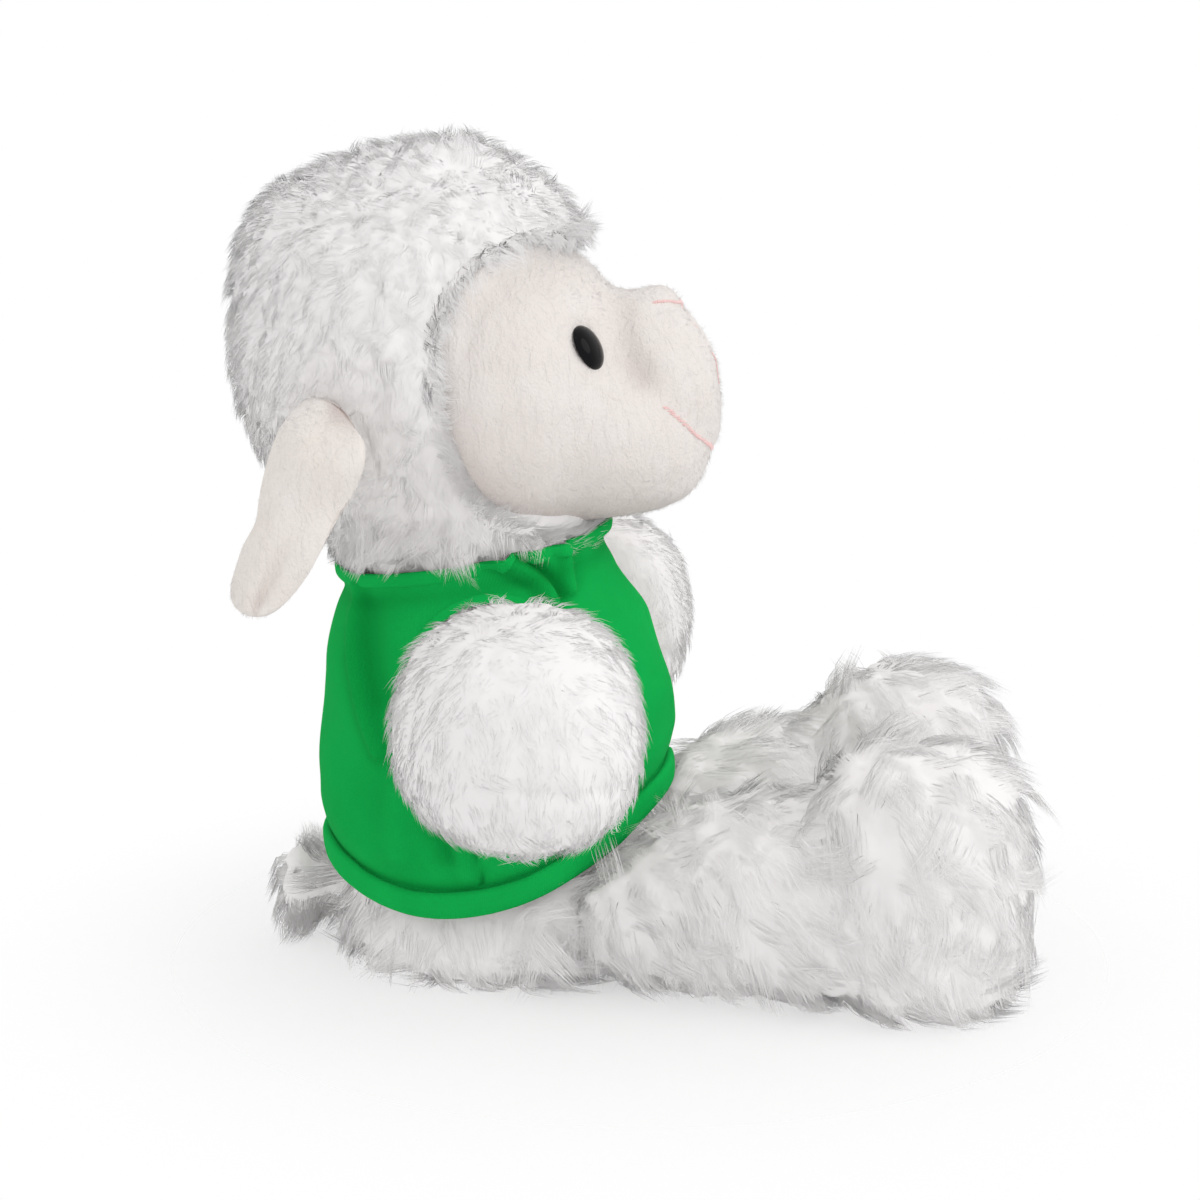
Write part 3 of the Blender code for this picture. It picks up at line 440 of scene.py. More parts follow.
def velourMaterial(name, light, dark, grain, look=velourLook):
    material, tree, shader = newMaterial(name, 0.9, Sheen_Weight=0.35, Sheen_Roughness=0.45,
                                         Specular_IOR_Level=0.15)
    nap = addGroup(tree, shortNap, Grain=grain, Brush=look["brush"], Depth=look["depth"],
                   Strength=look["strength"])
    cloud = addGroup(tree, softPatches, Light=(*light, 1), Dark=(*dark, 1), Patch_size=look["patch"],
                     Tone=look["tone"])
    tone = toneOf(tree)
    share = addMath(tree, "ADD", addMath(tree, "MULTIPLY", tone, look["streakTone"]), look["streakLeast"])
    brushed = addMath(tree, "MULTIPLY", nap.outputs["Mask"], share)
    streaked = addMix(tree, brushed, cloud.outputs["Color"], (*dark, 1))
    # painted shade: the velour turns towards the shade colour by its tone attribute
    tree.links.new(addMix(tree, tone, streaked, (*look["shade"], 1)), shader.inputs["Base Color"])
    tree.links.new(nap.outputs["Normal"], shader.inputs["Normal"])
    return material


# the groove colour is painted shade between the knit's wales, and the fold colour is painted shade in folds,
# beside seams and towards the back
jerseyLook = {"light": (0.008, 0.485, 0.092), "dark": (0.005, 0.40, 0.070), "patch": 60.0, "tone": 0.5,
              "wale": 0.0009, "course": 0.0007, "depth": 0.00025, "grooves": 0.22,
              "groove": (0.002, 0.24, 0.035),
              "fold": (0.002, 0.24, 0.036), "bounce": 0.8, "bounced": (0.62, 0.60, 0.59)}


def jerseyMaterial(name, strength, look=jerseyLook):
    # rays that bounce on see the shirt nearly grey, so that it throws little green on the wool
    material, tree, shader = newMaterial(name, 0.9, Specular_IOR_Level=0.03)
    cloud = addGroup(tree, softPatches, Light=(*look["light"], 1), Dark=(*look["dark"], 1),
                     Patch_size=look["patch"], Tone=look["tone"])
    knit = addGroup(tree, jerseyKnit, Wale=look["wale"], Course=look["course"], Depth=look["depth"],
                    Strength=strength)
    # painted shade in the knit's grooves, then painted shade where the tone attribute marks folds, seams and
    # the back
    low = addMath(tree, "MULTIPLY", addMath(tree, "SUBTRACT", 1.0, knit.outputs["Mask"]), look["grooves"])
    grooveShaded = addMix(tree, low, cloud.outputs["Color"], (*look["groove"], 1))
    foldShaded = addMix(tree, toneOf(tree), grooveShaded, (*look["fold"], 1))
    bounced = addMath(tree, "MULTIPLY", addNode(tree, "LightPath").outputs["Is Diffuse Ray"], look["bounce"])
    tree.links.new(addMix(tree, bounced, foldShaded, (*look["bounced"], 1)), shader.inputs["Base Color"])
    tree.links.new(knit.outputs["Normal"], shader.inputs["Normal"])
    return material


plainRelief = 0.0002                    # how high the patches of a plain finish stand, in metres


def patchedMaterial(name, light, dark, patch, roughness, relief, **constants):
    material, tree, shader = newMaterial(name, roughness, **constants)
    cloud = addGroup(tree, softPatches, Light=(*light, 1), Dark=(*dark, 1), Patch_size=patch, Tone=0.5)
    tree.links.new(cloud.outputs["Color"], shader.inputs["Base Color"])
    bump = addNode(tree, "Bump", None, Strength=relief, Distance=plainRelief, Height=cloud.outputs["Mask"])
    tree.links.new(bump.outputs[0], shader.inputs["Normal"])
    return material


# light and dark colour, patch size, roughness and relief of each plain finish
plainFinish = {
    "eyeBlack": ((0.004, 0.004, 0.005), (0.007, 0.007, 0.008), 300.0, 0.06, 0.01),
    "pinkThread": ((0.97, 0.68, 0.66), (0.92, 0.58, 0.57), 700.0, 0.55, 0.3),
    "whiteThread": ((0.85, 0.85, 0.84), (0.78, 0.78, 0.76), 700.0, 0.6, 0.3),
    "fibreFill": ((0.93, 0.93, 0.92), (0.86, 0.86, 0.85), 200.0, 0.95, 0.4),
    "pelletCloth": ((0.80, 0.79, 0.76), (0.72, 0.71, 0.68), 250.0, 0.9, 0.3),
    "washerWhite": ((0.82, 0.82, 0.80), (0.78, 0.78, 0.76), 150.0, 0.4, 0.05),
}
plainGloss = {"eyeBlack": {"Specular_IOR_Level": 0.12}, "pinkThread": {"Sheen_Weight": 0.25}}
finishes = {name: woolMaterial(name, **look) for name, look in woolFinish.items()}
finishes.update({name: velourMaterial(name, **look) for name, look in velourFinish.items()})
finishes["greenJersey"] = jerseyMaterial("greenJersey", 0.35)
finishes["greenBinding"] = jerseyMaterial("greenBinding", 0.25)
for name, look in plainFinish.items():
    finishes[name] = patchedMaterial(name, *look, **plainGloss.get(name, {}))
print("materials made")


# Pile: locks raised on a skin, and fine closed fibres grown over them

woolLook = {
    "seed": 11,
    "fibres": 1.5e6, "locks": 0.07e6,                     # a square metre
    "lockLength": 0.0050, "lockWidth": 0.62, "lockHeight": 0.0024, "swirl": 0.55,
    "length": 0.0050, "width": 0.00017, "uneven": 0.3, "steps": 2,
    "rise": 0.5, "lean": 1.0, "fuzz": 0.40, "gather": 0.75, "spread": 0.35, "tipRise": 0.0016,
    "curl": 0.0010, "arch": 0.14, "sink": 0.0005, "floor": 0.0002,
    # fibres are painted darker towards their roots by this share: painted shade deep in the pile
    "soften": 0.95, "toneSpread": 0.5, "rootShade": 0.3, "strand": 0.3, "litFrom": None,
}
# a lock swells along it and ends, in shares of its length; a fibre is pulled, widened and narrowed by shares
lockShape = {"sizes": (0.75, 1.25), "neighbours": 5, "behind": -0.8, "swell": (-0.6, 0.6), "end": (0.75, 1.15),
             "low": 0.25}
fibreShape = {"corners": 3, "pulled": (0.3, 1.0), "widths": (0.7, 1.2), "taper": 0.45, "tipTurn": 0.4}


def surfaceSpots(skin, density, draw, keep):
    # random places on the skin where keep says so, with the way out of the skin at each
    mesh = skin.data
    mesh.calc_loop_triangles()
    corners = np.empty(len(mesh.loop_triangles) * 3, dtype=np.int64)
    mesh.loop_triangles.foreach_get("vertices", corners)
    corners = corners.reshape(-1, 3)
    places, normals = pointsOf(skin)[corners], normalsOf(skin)[corners]
    cross = np.cross(places[:, 1] - places[:, 0], places[:, 2] - places[:, 0])
    areas = np.linalg.norm(cross, axis=1) / 2 * keep(places.mean(axis=1))
    count = int(areas.sum() * density)
    chosen = draw.choice(len(areas), size=count, p=areas / areas.sum())
    far, across = np.sqrt(draw.random(count)), draw.random(count)
    shares = np.stack([1 - far, far * (1 - across), far * across], axis=1)[:, :, None]
    return (places[chosen] * shares).sum(axis=1), unit((normals[chosen] * shares).sum(axis=1))


def everywhere(points):
    return np.ones(len(points))


def lockField(skin, look, comb):
    # where each lock of wool starts, and the way it lies
    draw = np.random.default_rng(look["seed"])
    places, ups = surfaceSpots(skin, look["locks"], draw, everywhere)
    ways = comb(places, ups) + draw.normal(size=places.shape) * look["swirl"]
    tree = KDTree(len(places))
    for index, place in enumerate(places):
        tree.insert(place, index)
    tree.balance()
    return {"places": places, "ups": ups, "ways": unit(flatOn(ups, ways)), "tree": tree,
            "sizes": draw.uniform(*lockShape["sizes"], len(places)), "tones": draw.uniform(0, 1, len(places))}


def raiseLocks(skin, look, field):
    # each lock swells towards its tip and ends in a soft edge over the next one
    shape = lockShape
    points, ups = pointsOf(skin), normalsOf(skin)
    found = [field["tree"].find_n(point, shape["neighbours"]) for point in points]
    near = np.array([[lock[1] for lock in locks] for locks in found])
    gap = points[:, None] - field["places"][near]
    ways, lockUps = field["ways"][near], field["ups"][near]
    size = field["sizes"][near] * look["lockLength"]
    along = (gap * ways).sum(axis=2) / size
    beside = (gap * np.cross(ways, lockUps)).sum(axis=2) / (size * look["lockWidth"])
    swell = shape["low"] + (1 - shape["low"]) * ramp(along, *shape["swell"])
    crown = np.clip(1 - beside ** 2, 0, 1) * swell * fall(along, *shape["end"])
    height = (crown * (along > shape["behind"])).max(axis=1) * look["lockHeight"]
    points += ups * height[:, None]
    points[:, 2] = np.maximum(points[:, 2], look["floor"])
    movePoints(skin, points)


def fibreFaces(count, steps):
    # one fibre: a closed root, a ring of corners for each step, and a pointed tip
    corners = fibreShape["corners"]
    size = steps * corners + 1
    pattern = [(0, 2, 1)]
    for ring in range(steps - 1):
        for corner in range(corners):
            a, b = ring * corners + corner, ring * corners + (corner + 1) % corners
            pattern += [(a, b, b + corners), (a, b + corners, a + corners)]
    last = size - 1 - corners
    pattern += [(last + corner, last + (corner + 1) % corners, size - 1) for corner in range(corners)]
    return (np.array(pattern)[None] + (np.arange(count) * size)[:, None, None]).reshape(-1, 3)


def fibreMesh(name, points, faces):
    mesh = bpy.data.meshes.new(name)
    mesh.vertices.add(len(points))
    mesh.vertices.foreach_set("co", points.astype(np.float32).ravel())
    mesh.loops.add(faces.size)
    mesh.loops.foreach_set("vertex_index", faces.astype(np.int32).ravel())
    mesh.polygons.add(len(faces))
    mesh.polygons.foreach_set("loop_start", np.arange(0, faces.size, 3, dtype=np.int32))
    mesh.update(calc_edges=True)
    mesh.polygons.foreach_set("use_smooth", np.ones(len(faces), dtype=bool))
    return mesh


def growPile(name, skin, look, keep, comb, field, seed=0):
    # fibres over the skin: each leans its own way and is gathered towards the tip of its lock
    shape = fibreShape
    draw = np.random.default_rng(look["seed"] + seed)
    spots, ups = surfaceSpots(skin, look["fibres"], draw, keep)
    count, steps, corners = len(spots), look["steps"], shape["corners"]
    lockOf = np.array([field["tree"].find(place)[1] for place in spots])
    locks, lockUps = field["places"][lockOf], field["ups"][lockOf]
    length = look["length"] * field["sizes"][lockOf][:, None]
    length = length * (1 + look["uneven"] * draw.uniform(-1, 1, (count, 1)))
    lockWay = unit(lockUps * look["rise"] + field["ways"][lockOf] * look["lean"])
    strayed = draw.normal(size=spots.shape) * look["fuzz"]
    ownWay = unit(ups * look["rise"] + comb(spots, ups) * look["lean"] + strayed)
    way = unit(ownWay * (1 - look["gather"]) + lockWay * look["gather"])
    lockTip = locks + lockUps * look["tipRise"] + lockWay * length
    pull = look["gather"] * draw.uniform(*shape["pulled"], (count, 1))
    tips = (spots + way * length) * (1 - pull) + (lockTip + (spots - locks) * look["spread"]) * pull
    aslant = field["tones"][lockOf][:, None] - 0.5
    turn = unit(np.cross(lockUps, field["ways"][lockOf])) * aslant * 2 * look["curl"]
    roots = spots - ups * look["sink"]
    reach = tips - roots
    rings = []
    for step in range(steps):
        share = step / steps
        rings.append(roots + reach * share + (ups * look["arch"] * length + turn) * math.sin(math.pi * share))
    rings.append(tips - turn * shape["tipTurn"] * (steps > 1))
    for rows in rings:
        rows[:, 2] = np.maximum(rows[:, 2], look["floor"])
    aside = unit(np.cross(ups, draw.normal(size=spots.shape)))
    half = look["width"] / 2 * draw.uniform(*shape["widths"], (count, 1))
    size = steps * corners + 1
    points = np.empty((count, size, 3))
    for ring in range(steps):
        along = unit(rings[ring + 1] - rings[max(ring - 1, 0)])
        first = unit(flatOn(along, aside))
        second = np.cross(along, first)
        for corner in range(corners):
            angle = 2 * math.pi * corner / corners
            spoke = first * math.cos(angle) + second * math.sin(angle)
            wide = half * (1 - shape["taper"] * ring / steps)
            points[:, ring * corners + corner] = rings[ring] + spoke * wide
    points[:, -1] = rings[-1]
    points[:, :, 2] = np.maximum(points[:, :, 2], look["floor"])
    mesh = fibreMesh(name, points.reshape(-1, 3), fibreFaces(count, steps))
    tones = field["tones"][lockOf] * look["toneSpread"] + draw.uniform(-0.5, 0.5, count) * look["strand"]
    # painted shade: each fibre turns darker towards its root
    towardsRoot = 1 - np.arange(size) // corners / steps
    toned(mesh, np.repeat(tones, size).reshape(count, size) + towardsRoot[None] * look["rootShade"])
    piece = bpy.data.objects.new(name, mesh)
    bpy.context.scene.collection.objects.link(piece)
    # the light falls on a fibre nearly as on the skin below it, which keeps the pile soft
    lit = unit(spots - np.array(look["litFrom"])) if look["litFrom"] else ups
    middle = roots * 0.5 + tips * 0.5
    outs = unit(points - middle[:, None]) * (1 - look["soften"]) + lit[:, None] * look["soften"]
    mesh.normals_split_custom_set_from_vertices(unit(outs).reshape(-1, 3).tolist())
    print(name, count, "fibres")
    return piece


combDown = combTowards(0, 0.15, -1.0)


# Body form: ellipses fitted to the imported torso, one for each height, which the skin and the shirt follow

bodyWork = {
    "lowest": 0.004, "highest": 0.112, "rows": 46, "turns": 48,
    "axisY": 0.002, "reach": 0.1, "depth": 0.09,          # where the rays come from, and how deep they look
    "armsAbove": 0.05, "sideShare": 0.80,                 # higher up, rays nearer to the sides meet the arms
    "leastShare": 1 / 3,
}


def bodyRings(work):
    tree = treeOf(copiesOf("torso_front_cover", "torso_back_cover"))
    bpy.data.objects.remove(bpy.context.active_object)
    rings = []
    for height in np.linspace(work["lowest"], work["highest"], work["rows"]):
        rows = []
        for turn in range(work["turns"]):
            angle = 2 * math.pi * (turn + 0.5) / work["turns"]
            way = Vector((math.sin(angle), -math.cos(angle), 0))
            if abs(way.x) > work["sideShare"] and height > work["armsAbove"]:
                continue
            start = Vector((0, work["axisY"], height)) + way * work["reach"]
            hit = tree.ray_cast(start, -way, work["depth"])[0]
            if hit is not None:
                rows.append((hit.x ** 2, hit.y ** 2, hit.y))
        if len(rows) > work["turns"] * work["leastShare"]:
            a, b, c = np.linalg.lstsq(np.array(rows), np.ones(len(rows)), rcond=None)[0]
            middle = -c / (2 * b)
            whole = 1 + b * middle ** 2
            rings.append((height, math.sqrt(whole / a), math.sqrt(whole / b), middle))
    rings = np.array(rings)
    for column in (1, 2, 3):            # evened out over five rows
        ends = np.pad(rings[:, column], 2, mode="edge")
        rings[:, column] = (ends[:-4] + ends[1:-3] * 2 + ends[2:-2] * 3 + ends[3:-1] * 2 + ends[4:]) / 9
    return rings


rings = bodyRings(bodyWork)
print("body rings:", len(rings), "from", round(rings[0, 0], 4), "to", round(rings[-1, 0], 4))


def bodyPoint(turn, height, lift):
    # a place on the body at a turn about it, 0 in front and growing to the left side, lifted off the surface
    wide, deep, middle = (np.interp(height, rings[:, 0], rings[:, column]) for column in (1, 2, 3))
    aside, forward = (wide + lift) * np.sin(turn), middle - (deep + lift) * np.cos(turn)
    return np.stack([aside, forward, height + 0 * turn], axis=-1)


# Shirt: one knitted tube over the body with two armholes, its bands, pleats and seams

shirtLook = {
    "columns": 220, "rows": 90, "weld": 0.00005,
    "flat": (0.268, 0.088), "area": 0.0178,               # girth and length of the cloth, less the armholes
    "lift": 0.0014, "thickness": 0.0009,
    # the hem's line, seen from the side: its lowest point, and a point further up in front
    "hemLow": 0.018, "hemLowBack": 0.013, "hemFront": (-0.0425, 0.0445),
    "hemWidth": 0.0070, "hemThickness": 0.0026, "hemStand": 0.0004,
    # the collar: its opening, how far below it the cloth closes in, and its plane below the neck's pivot
    "neckHalf": (0.0325, 0.0304), "neckForward": 0.0018, "neckReach": 0.024, "neckOver": 0.001,
    "neckDrop": 0.0252, "neckTilt": 10, "neckStand": 0.0012,
    "collarWidth": 0.0034, "collarThickness": 0.0013, "collarStand": 0.0001,
    "cornerRise": 0.0018, "cornerFlare": 0.0024, "cornerWidth": 0.010, "cornerDepth": 0.006,
    "cornerBehind": 0.55,
    # puffs out above the hem's band, and is drawn in at the seam of each band
    "puff": 0.0016, "puffStart": (0, 0.009), "puffEnd": (0.016, 0.034), "tuck": 0.0010, "tuckWidth": 0.0013,
    "neckTuck": 0.0008, "neckTuckAt": 0.006, "neckTuckWidth": 0.003,
    "ripple": 0.0004, "rippleTurns": (5, 3), "rippleRises": (90, 140),
    # folds show at the sides only, less on the far one; painted shade darkens the cloth in them and beside
    # them, and towards the back
    "foldSides": (0.012, 0.026), "farFolds": 0.8, "foldPoints": 14,
    "foldShade": 260.0, "besideAt": 1.3, "besideShade": 0.6, "backShade": 0.12, "backFrom": (0.008, 0.034),
    # share, place and width of the painted shade beside the hem's and the collar's seam
    "hemShade": (0.5, 0.0006, 0.0020), "neckShade": (0.3, 0.0065, 0.0022),
    # the armholes look forward and down, in degrees
    "armForward": 14, "armDrop": 2, "armhole": 0.0192, "armReach": 0.05, "bindingSteps": 72,
    "bindingEvening": 3,
    "bindingRadius": 0.0192, "bindingWidth": 0.0026, "bindingThickness": 0.0018, "bindingStand": 0.0002,
    "bandSteps": 200, "bandCorners": 14, "bandFlat": (0.8, 0.7), "bandLook": 0.01,
    "lineStart": 0.06, "lineRounds": 12,
}
# folds of a side as places (y, z) down the cloth, with how far they stand out or in and how wide they are
shirtFolds = [
    ([(0.0318, 0.0950), (0.0323, 0.0862), (0.0302, 0.0743), (0.0271, 0.0647), (0.0240, 0.0583)],
     0.0025, 0.0018),
    ([(0.0270, 0.0900), (0.0262, 0.0791), (0.0235, 0.0708)], -0.0015, 0.0038),
    ([(-0.0010, 0.1060), (-0.0070, 0.1025), (-0.0125, 0.0985), (-0.0150, 0.0940)], 0.0031, 0.0016),
    ([(-0.0050, 0.1065), (-0.0115, 0.1025), (-0.0150, 0.0990), (-0.0165, 0.0950)], -0.0031, 0.0013),
    ([(-0.0160, 0.1075), (-0.0182, 0.1030), (-0.0185, 0.0960)], 0.0025, 0.0011),
    ([(-0.0190, 0.1075), (-0.0205, 0.1030), (-0.0208, 0.0975)], -0.0023, 0.0013),
    ([(-0.0200, 0.1045), (-0.0235, 0.1028), (-0.0280, 0.1035)], -0.0021, 0.0014),
    ([(0.0105, 0.0420), (0.0072, 0.0350)], -0.0020, 0.0028),
    ([(0.0023, 0.0480), (0.0010, 0.0384), (-0.0005, 0.0280)], -0.0013, 0.0005),
    ([(0.0060, 0.0470), (0.0045, 0.0380), (0.0030, 0.0300)], 0.0012, 0.0020),
    ([(0.0180, 0.0500), (0.0200, 0.0420), (0.0190, 0.0340)], 0.0010, 0.0030),
    ([(-0.0150, 0.0500), (-0.0190, 0.0460), (-0.0220, 0.0430)], -0.0012, 0.0020),
]
neckTilt = math.radians(shirtLook["neckTilt"])
neckAxis = Vector((0, math.sin(neckTilt), math.cos(neckTilt)))
neckCentre = joints["neck_turn"] - neckAxis * shirtLook["neckDrop"]


def hemHeight(y):
    frontY, frontHeight = shirtLook["hemFront"]
    bend = (frontHeight - shirtLook["hemLow"]) / (frontY - shirtLook["hemLowBack"]) ** 2
    return shirtLook["hemLow"] + bend * (y - shirtLook["hemLowBack"]) ** 2


def neckHeight(places):
    look = shirtLook
    corner = bell(places[:, 0], look["cornerWidth"]) * np.where(places[:, 1] < 0, 1, look["cornerBehind"])
    plane = neckCentre.z - (places[:, 1] - neckCentre.y) * neckAxis.y / neckAxis.z
    return plane + look["neckStand"] + corner * look["cornerRise"]


def wornPoint(turns, heights, lifts, below):
    # the body, closing in to the collar's opening towards the top
    look = shirtLook
    wide, deep = look["neckHalf"]
    middle = neckCentre.y + look["neckForward"]
    body = bodyPoint(turns, heights, lifts)
    aside, forward = (wide + lifts) * np.sin(turns), middle - (deep + lifts) * np.cos(turns)
    ring = np.stack([aside, forward, heights], axis=-1)
    share = fall(below, -look["neckOver"], look["neckReach"])[:, None]
    return body * (1 - share) + ring * share


def onLine(turns, line, below):         # heights at which each turn about the body meets a line over it
    heights = np.full(len(turns), shirtLook["lineStart"])
    for _ in range(shirtLook["lineRounds"]):
        heights = line(wornPoint(turns, heights, 0, np.full(len(turns), below)))
    return heights


def shirtPlaces(turns, ups, shades=None):
    # the worn surface at turns about the body and shares of the way from hem to neck
    look = shirtLook
    low = onLine(turns, lambda places: hemHeight(places[:, 1]), 1)
    high = onLine(turns, neckHeight, 0)
    heights = low + (high - low) * ups
    aboveHem, below = heights - low - look["hemWidth"], high - heights
    plain = wornPoint(turns, heights, 0, below)
    sideways = ramp(np.abs(plain[:, 0]), *look["foldSides"])
    sideShare = np.where(plain[:, 0] < 0, 1.0, look["farFolds"])
    lift = np.full(len(turns), look["lift"])
    # painted shade: darker towards the back, in the folds and beside them
    shade = look["backShade"] * ramp(plain[:, 1], *look["backFrom"])
    for route, height, width in shirtFolds:
        gap = routeGap(plain[:, 1:], alongRoute(route, np.linspace(0, 1, look["foldPoints"])))
        fold = sideways * height * bell(gap, width) * sideShare
        beside = bell(gap - look["besideAt"] * width, width)
        shadeBeside = max(height, 0) * beside * sideways * look["besideShade"]
        shade += look["foldShade"] * (np.maximum(-fold, 0) + shadeBeside)
        lift += fold
    (firstTurns, secondTurns), (firstRises, secondRises) = look["rippleTurns"], look["rippleRises"]
    firstWave = np.sin(turns * firstTurns + heights * firstRises)
    lift += look["ripple"] * firstWave * np.sin(turns * secondTurns + 1 + heights * secondRises)
    lift += look["puff"] * ramp(aboveHem, *look["puffStart"]) * fall(aboveHem, *look["puffEnd"])
    lift -= look["tuck"] * bell(aboveHem, look["tuckWidth"])
    lift += look["cornerFlare"] * bell(plain[:, 0], look["cornerWidth"]) * fall(below, 0, look["cornerDepth"])
    lift -= look["neckTuck"] * bell(below - look["neckTuckAt"], look["neckTuckWidth"])
    if shades is not None:
        # painted shade beside the hem's and the collar's seam
        (hemShare, hemAt, hemWide), (neckShare, neckAt, neckWide) = look["hemShade"], look["neckShade"]
        shade += hemShare * bell(aboveHem - hemAt, hemWide) + neckShare * bell(below - neckAt, neckWide)
        shades.append(shade)
    return wornPoint(turns, heights, lift, below)


def weaveUv(piece, width, length):      # the piece's uv map in metres of cloth
    layer = piece.data.uv_layers[0]
    layer.name = "weave"
    uv = np.empty(len(layer.data) * 2)
    layer.data.foreach_get("uv", uv)
    layer.data.foreach_set("uv", (uv.reshape(-1, 2) * (width, length)).ravel())


def bandPiece(name, places, outs, ups, width, thickness):
    # a soft band along a closed route: a ring whose section is drawn flat against the surface
    count, around = len(places), shirtLook["bandCorners"]
    bpy.ops.object.select_all(action="DESELECT")
    bpy.ops.mesh.primitive_torus_add(major_segments=count, minor_segments=around, major_radius=1,
                                     minor_radius=0.2)
    band = named(name)
    angles = 2 * math.pi * np.arange(around) / around
    wide, proud = shirtLook["bandFlat"]
    across = np.sign(np.cos(angles)) * np.abs(np.cos(angles)) ** wide * width / 2
    stand = np.sign(np.sin(angles)) * np.abs(np.sin(angles)) ** proud * thickness / 2
    points = places[:, None] + ups[:, None] * across[:, None] + outs[:, None] * stand[:, None]
    movePoints(band, points.reshape(-1, 3))
    weaveUv(band, np.linalg.norm(places - np.roll(places, 1, axis=0), axis=1).sum(), 2 * width)
    with editing(band):
        bpy.ops.mesh.normals_make_consistent(inside=False)
    return smoothShaded(band)


def lineBand(name, up, width, thickness, stand):
    # a band along the hem or the neck: its middle lies half its width from the line
    turns = 2 * math.pi * np.arange(shirtLook["bandSteps"]) / shirtLook["bandSteps"]
    inward = 1 if up < 0.5 else -1
    places = shirtPlaces(turns, np.full(len(turns), up))
    ups = unit(shirtPlaces(turns, np.full(len(turns), up + inward * shirtLook["bandLook"])) - places) * inward
    along = unit(np.roll(places, -1, axis=0) - np.roll(places, 1, axis=0))
    outs = unit(np.cross(along, ups))
    return bandPiece(name, places + ups * (inward * width / 2) + outs * stand, outs, ups, width, thickness)


def cutArmhole(side, sign, shirt, worn, look):
    # chooses the faces inside the armhole, and lays the binding on the cloth round it
    pivot = joints[f"shoulder_{side}_lift"]
    forward, drop = math.radians(look["armForward"]), math.radians(look["armDrop"])
    level = math.cos(drop)
    way = Vector((sign * math.cos(forward) * level, -math.sin(forward) * level, -math.sin(drop)))
    upward = (Vector((0, 0, 1)) - way * way.z).normalized()
    aside = way.cross(upward)
    for face in shirt.data.polygons:
        gap = face.center - pivot
        if (gap - way * gap.dot(way)).length < look["armhole"] and face.center.x * sign > 0:
            face.select = True
    places, outs, ups = [], [], []
    for step in range(look["bindingSteps"]):
        angle = 2 * math.pi * step / look["bindingSteps"]
        spoke = upward * math.cos(angle) + aside * math.sin(angle)
        start = pivot + spoke * look["bindingRadius"] + way * look["armReach"]
        hit, normal = worn.ray_cast(start, -way)[:2]
        normal = normal if normal.dot(way) > 0 else -normal
        places.append(hit + normal * look["bindingStand"])
        outs.append(normal)
        ups.append((spoke - normal * spoke.dot(normal)).normalized())
    evened = np.array(places)
    for _ in range(look["bindingEvening"]):
        evened = (np.roll(evened, 1, axis=0) + evened * 2 + np.roll(evened, -1, axis=0)) / 4
    return bandPiece("armholeBinding" + side.title(), evened, np.array(outs), np.array(ups),
                     look["bindingWidth"], look["bindingThickness"])


def makeShirt(look):
    bpy.ops.object.select_all(action="DESELECT")
    bpy.ops.mesh.primitive_grid_add(x_subdivisions=look["columns"], y_subdivisions=look["rows"], size=1)
    shirt = named("shirtBody")
    shares = pointsOf(shirt)[:, :2] + 0.5
    shades = []
    movePoints(shirt, shirtPlaces(shares[:, 0] * 2 * math.pi, shares[:, 1], shades))
    # the shirt's painted shade in its folds, beside its seams and towards the back
    toned(shirt.data, shades[0])
    weaveUv(shirt, *look["flat"])
    with editing(shirt):                # closes the tube at its back
        bpy.ops.mesh.remove_doubles(threshold=look["weld"])
        bpy.ops.mesh.normals_make_consistent(inside=False)
        bpy.ops.mesh.select_all(action="DESELECT")
    worn = treeOf(shirt)
    bindings = [cutArmhole(side, sign, shirt, worn, look) for side, sign in sides.items()]
    pick(shirt)
    bpy.ops.object.mode_set(mode="EDIT")
    bpy.ops.mesh.delete(type="FACE")
    bpy.ops.object.mode_set(mode="OBJECT")
    print("shirt cloth", round(sum(face.area for face in shirt.data.polygons), 5), "square metres")
    applied(shirt, "SOLIDIFY", thickness=look["thickness"], offset=0)
    dressed(smoothShaded(shirt), finishes["greenJersey"], "torso", "shirt_jersey", "shirt_front", "shirt_back")
    hem = lineBand("hemBand", 0.0, look["hemWidth"], look["hemThickness"], look["hemStand"])
    collar = lineBand("collarBand", 1.0, look["collarWidth"], look["collarThickness"], look["collarStand"])
    standsFor = ["shirt_hem_band", "shirt_collar_band", *(f"shirt_armhole_binding_{side}" for side in sides)]
    for band, node in zip((hem, collar, *bindings), standsFor):
        dressed(band, finishes["greenBinding"], "torso", "shirt_jersey", node)


# Head: wool all round but for the face

headCentre = Vector((0, 0.01808, 0.15382))
facePatch = {"middle": (-0.0259, 0.1438), "half": (0.0328, 0.0350), "blunt": 2.4}
headForm = dict(woolForm, smoothing=3, fill=0.9, setBack=0.0052)
headShape = {
    # flatter on the crown, least in front; each pair is where a change starts and where it is done
    "flatten": 0.0042, "crownUp": (0.165, 0.200), "crownGrows": (0.004, 0.036), "crownEnds": (0.044, 0.060),
    "crownLeast": 0.4,
    # fuller at the upper back, and over the collar, where the wool also hangs lower
    "back": 0.0034, "backFrom": (0.026, 0.050), "backUp": (0.158, 0.184),
    "jowl": 0.0066, "droop": 0.0030, "jowlOver": (0.008, 0.024),
    # the wool thins out towards the face's seam and lies lower there
    "thinning": (-0.010, 0.001), "thinDepth": 0.0010,
    "parted": 0.165, "bottom": 0.098, "seamOverlap": 0.001,
}
headLook = dict(woolLook, fibres=1.65e6, width=0.00014, lockHeight=0.0021, length=0.0046, rise=0.42,
                soften=0.90, strand=0.5)
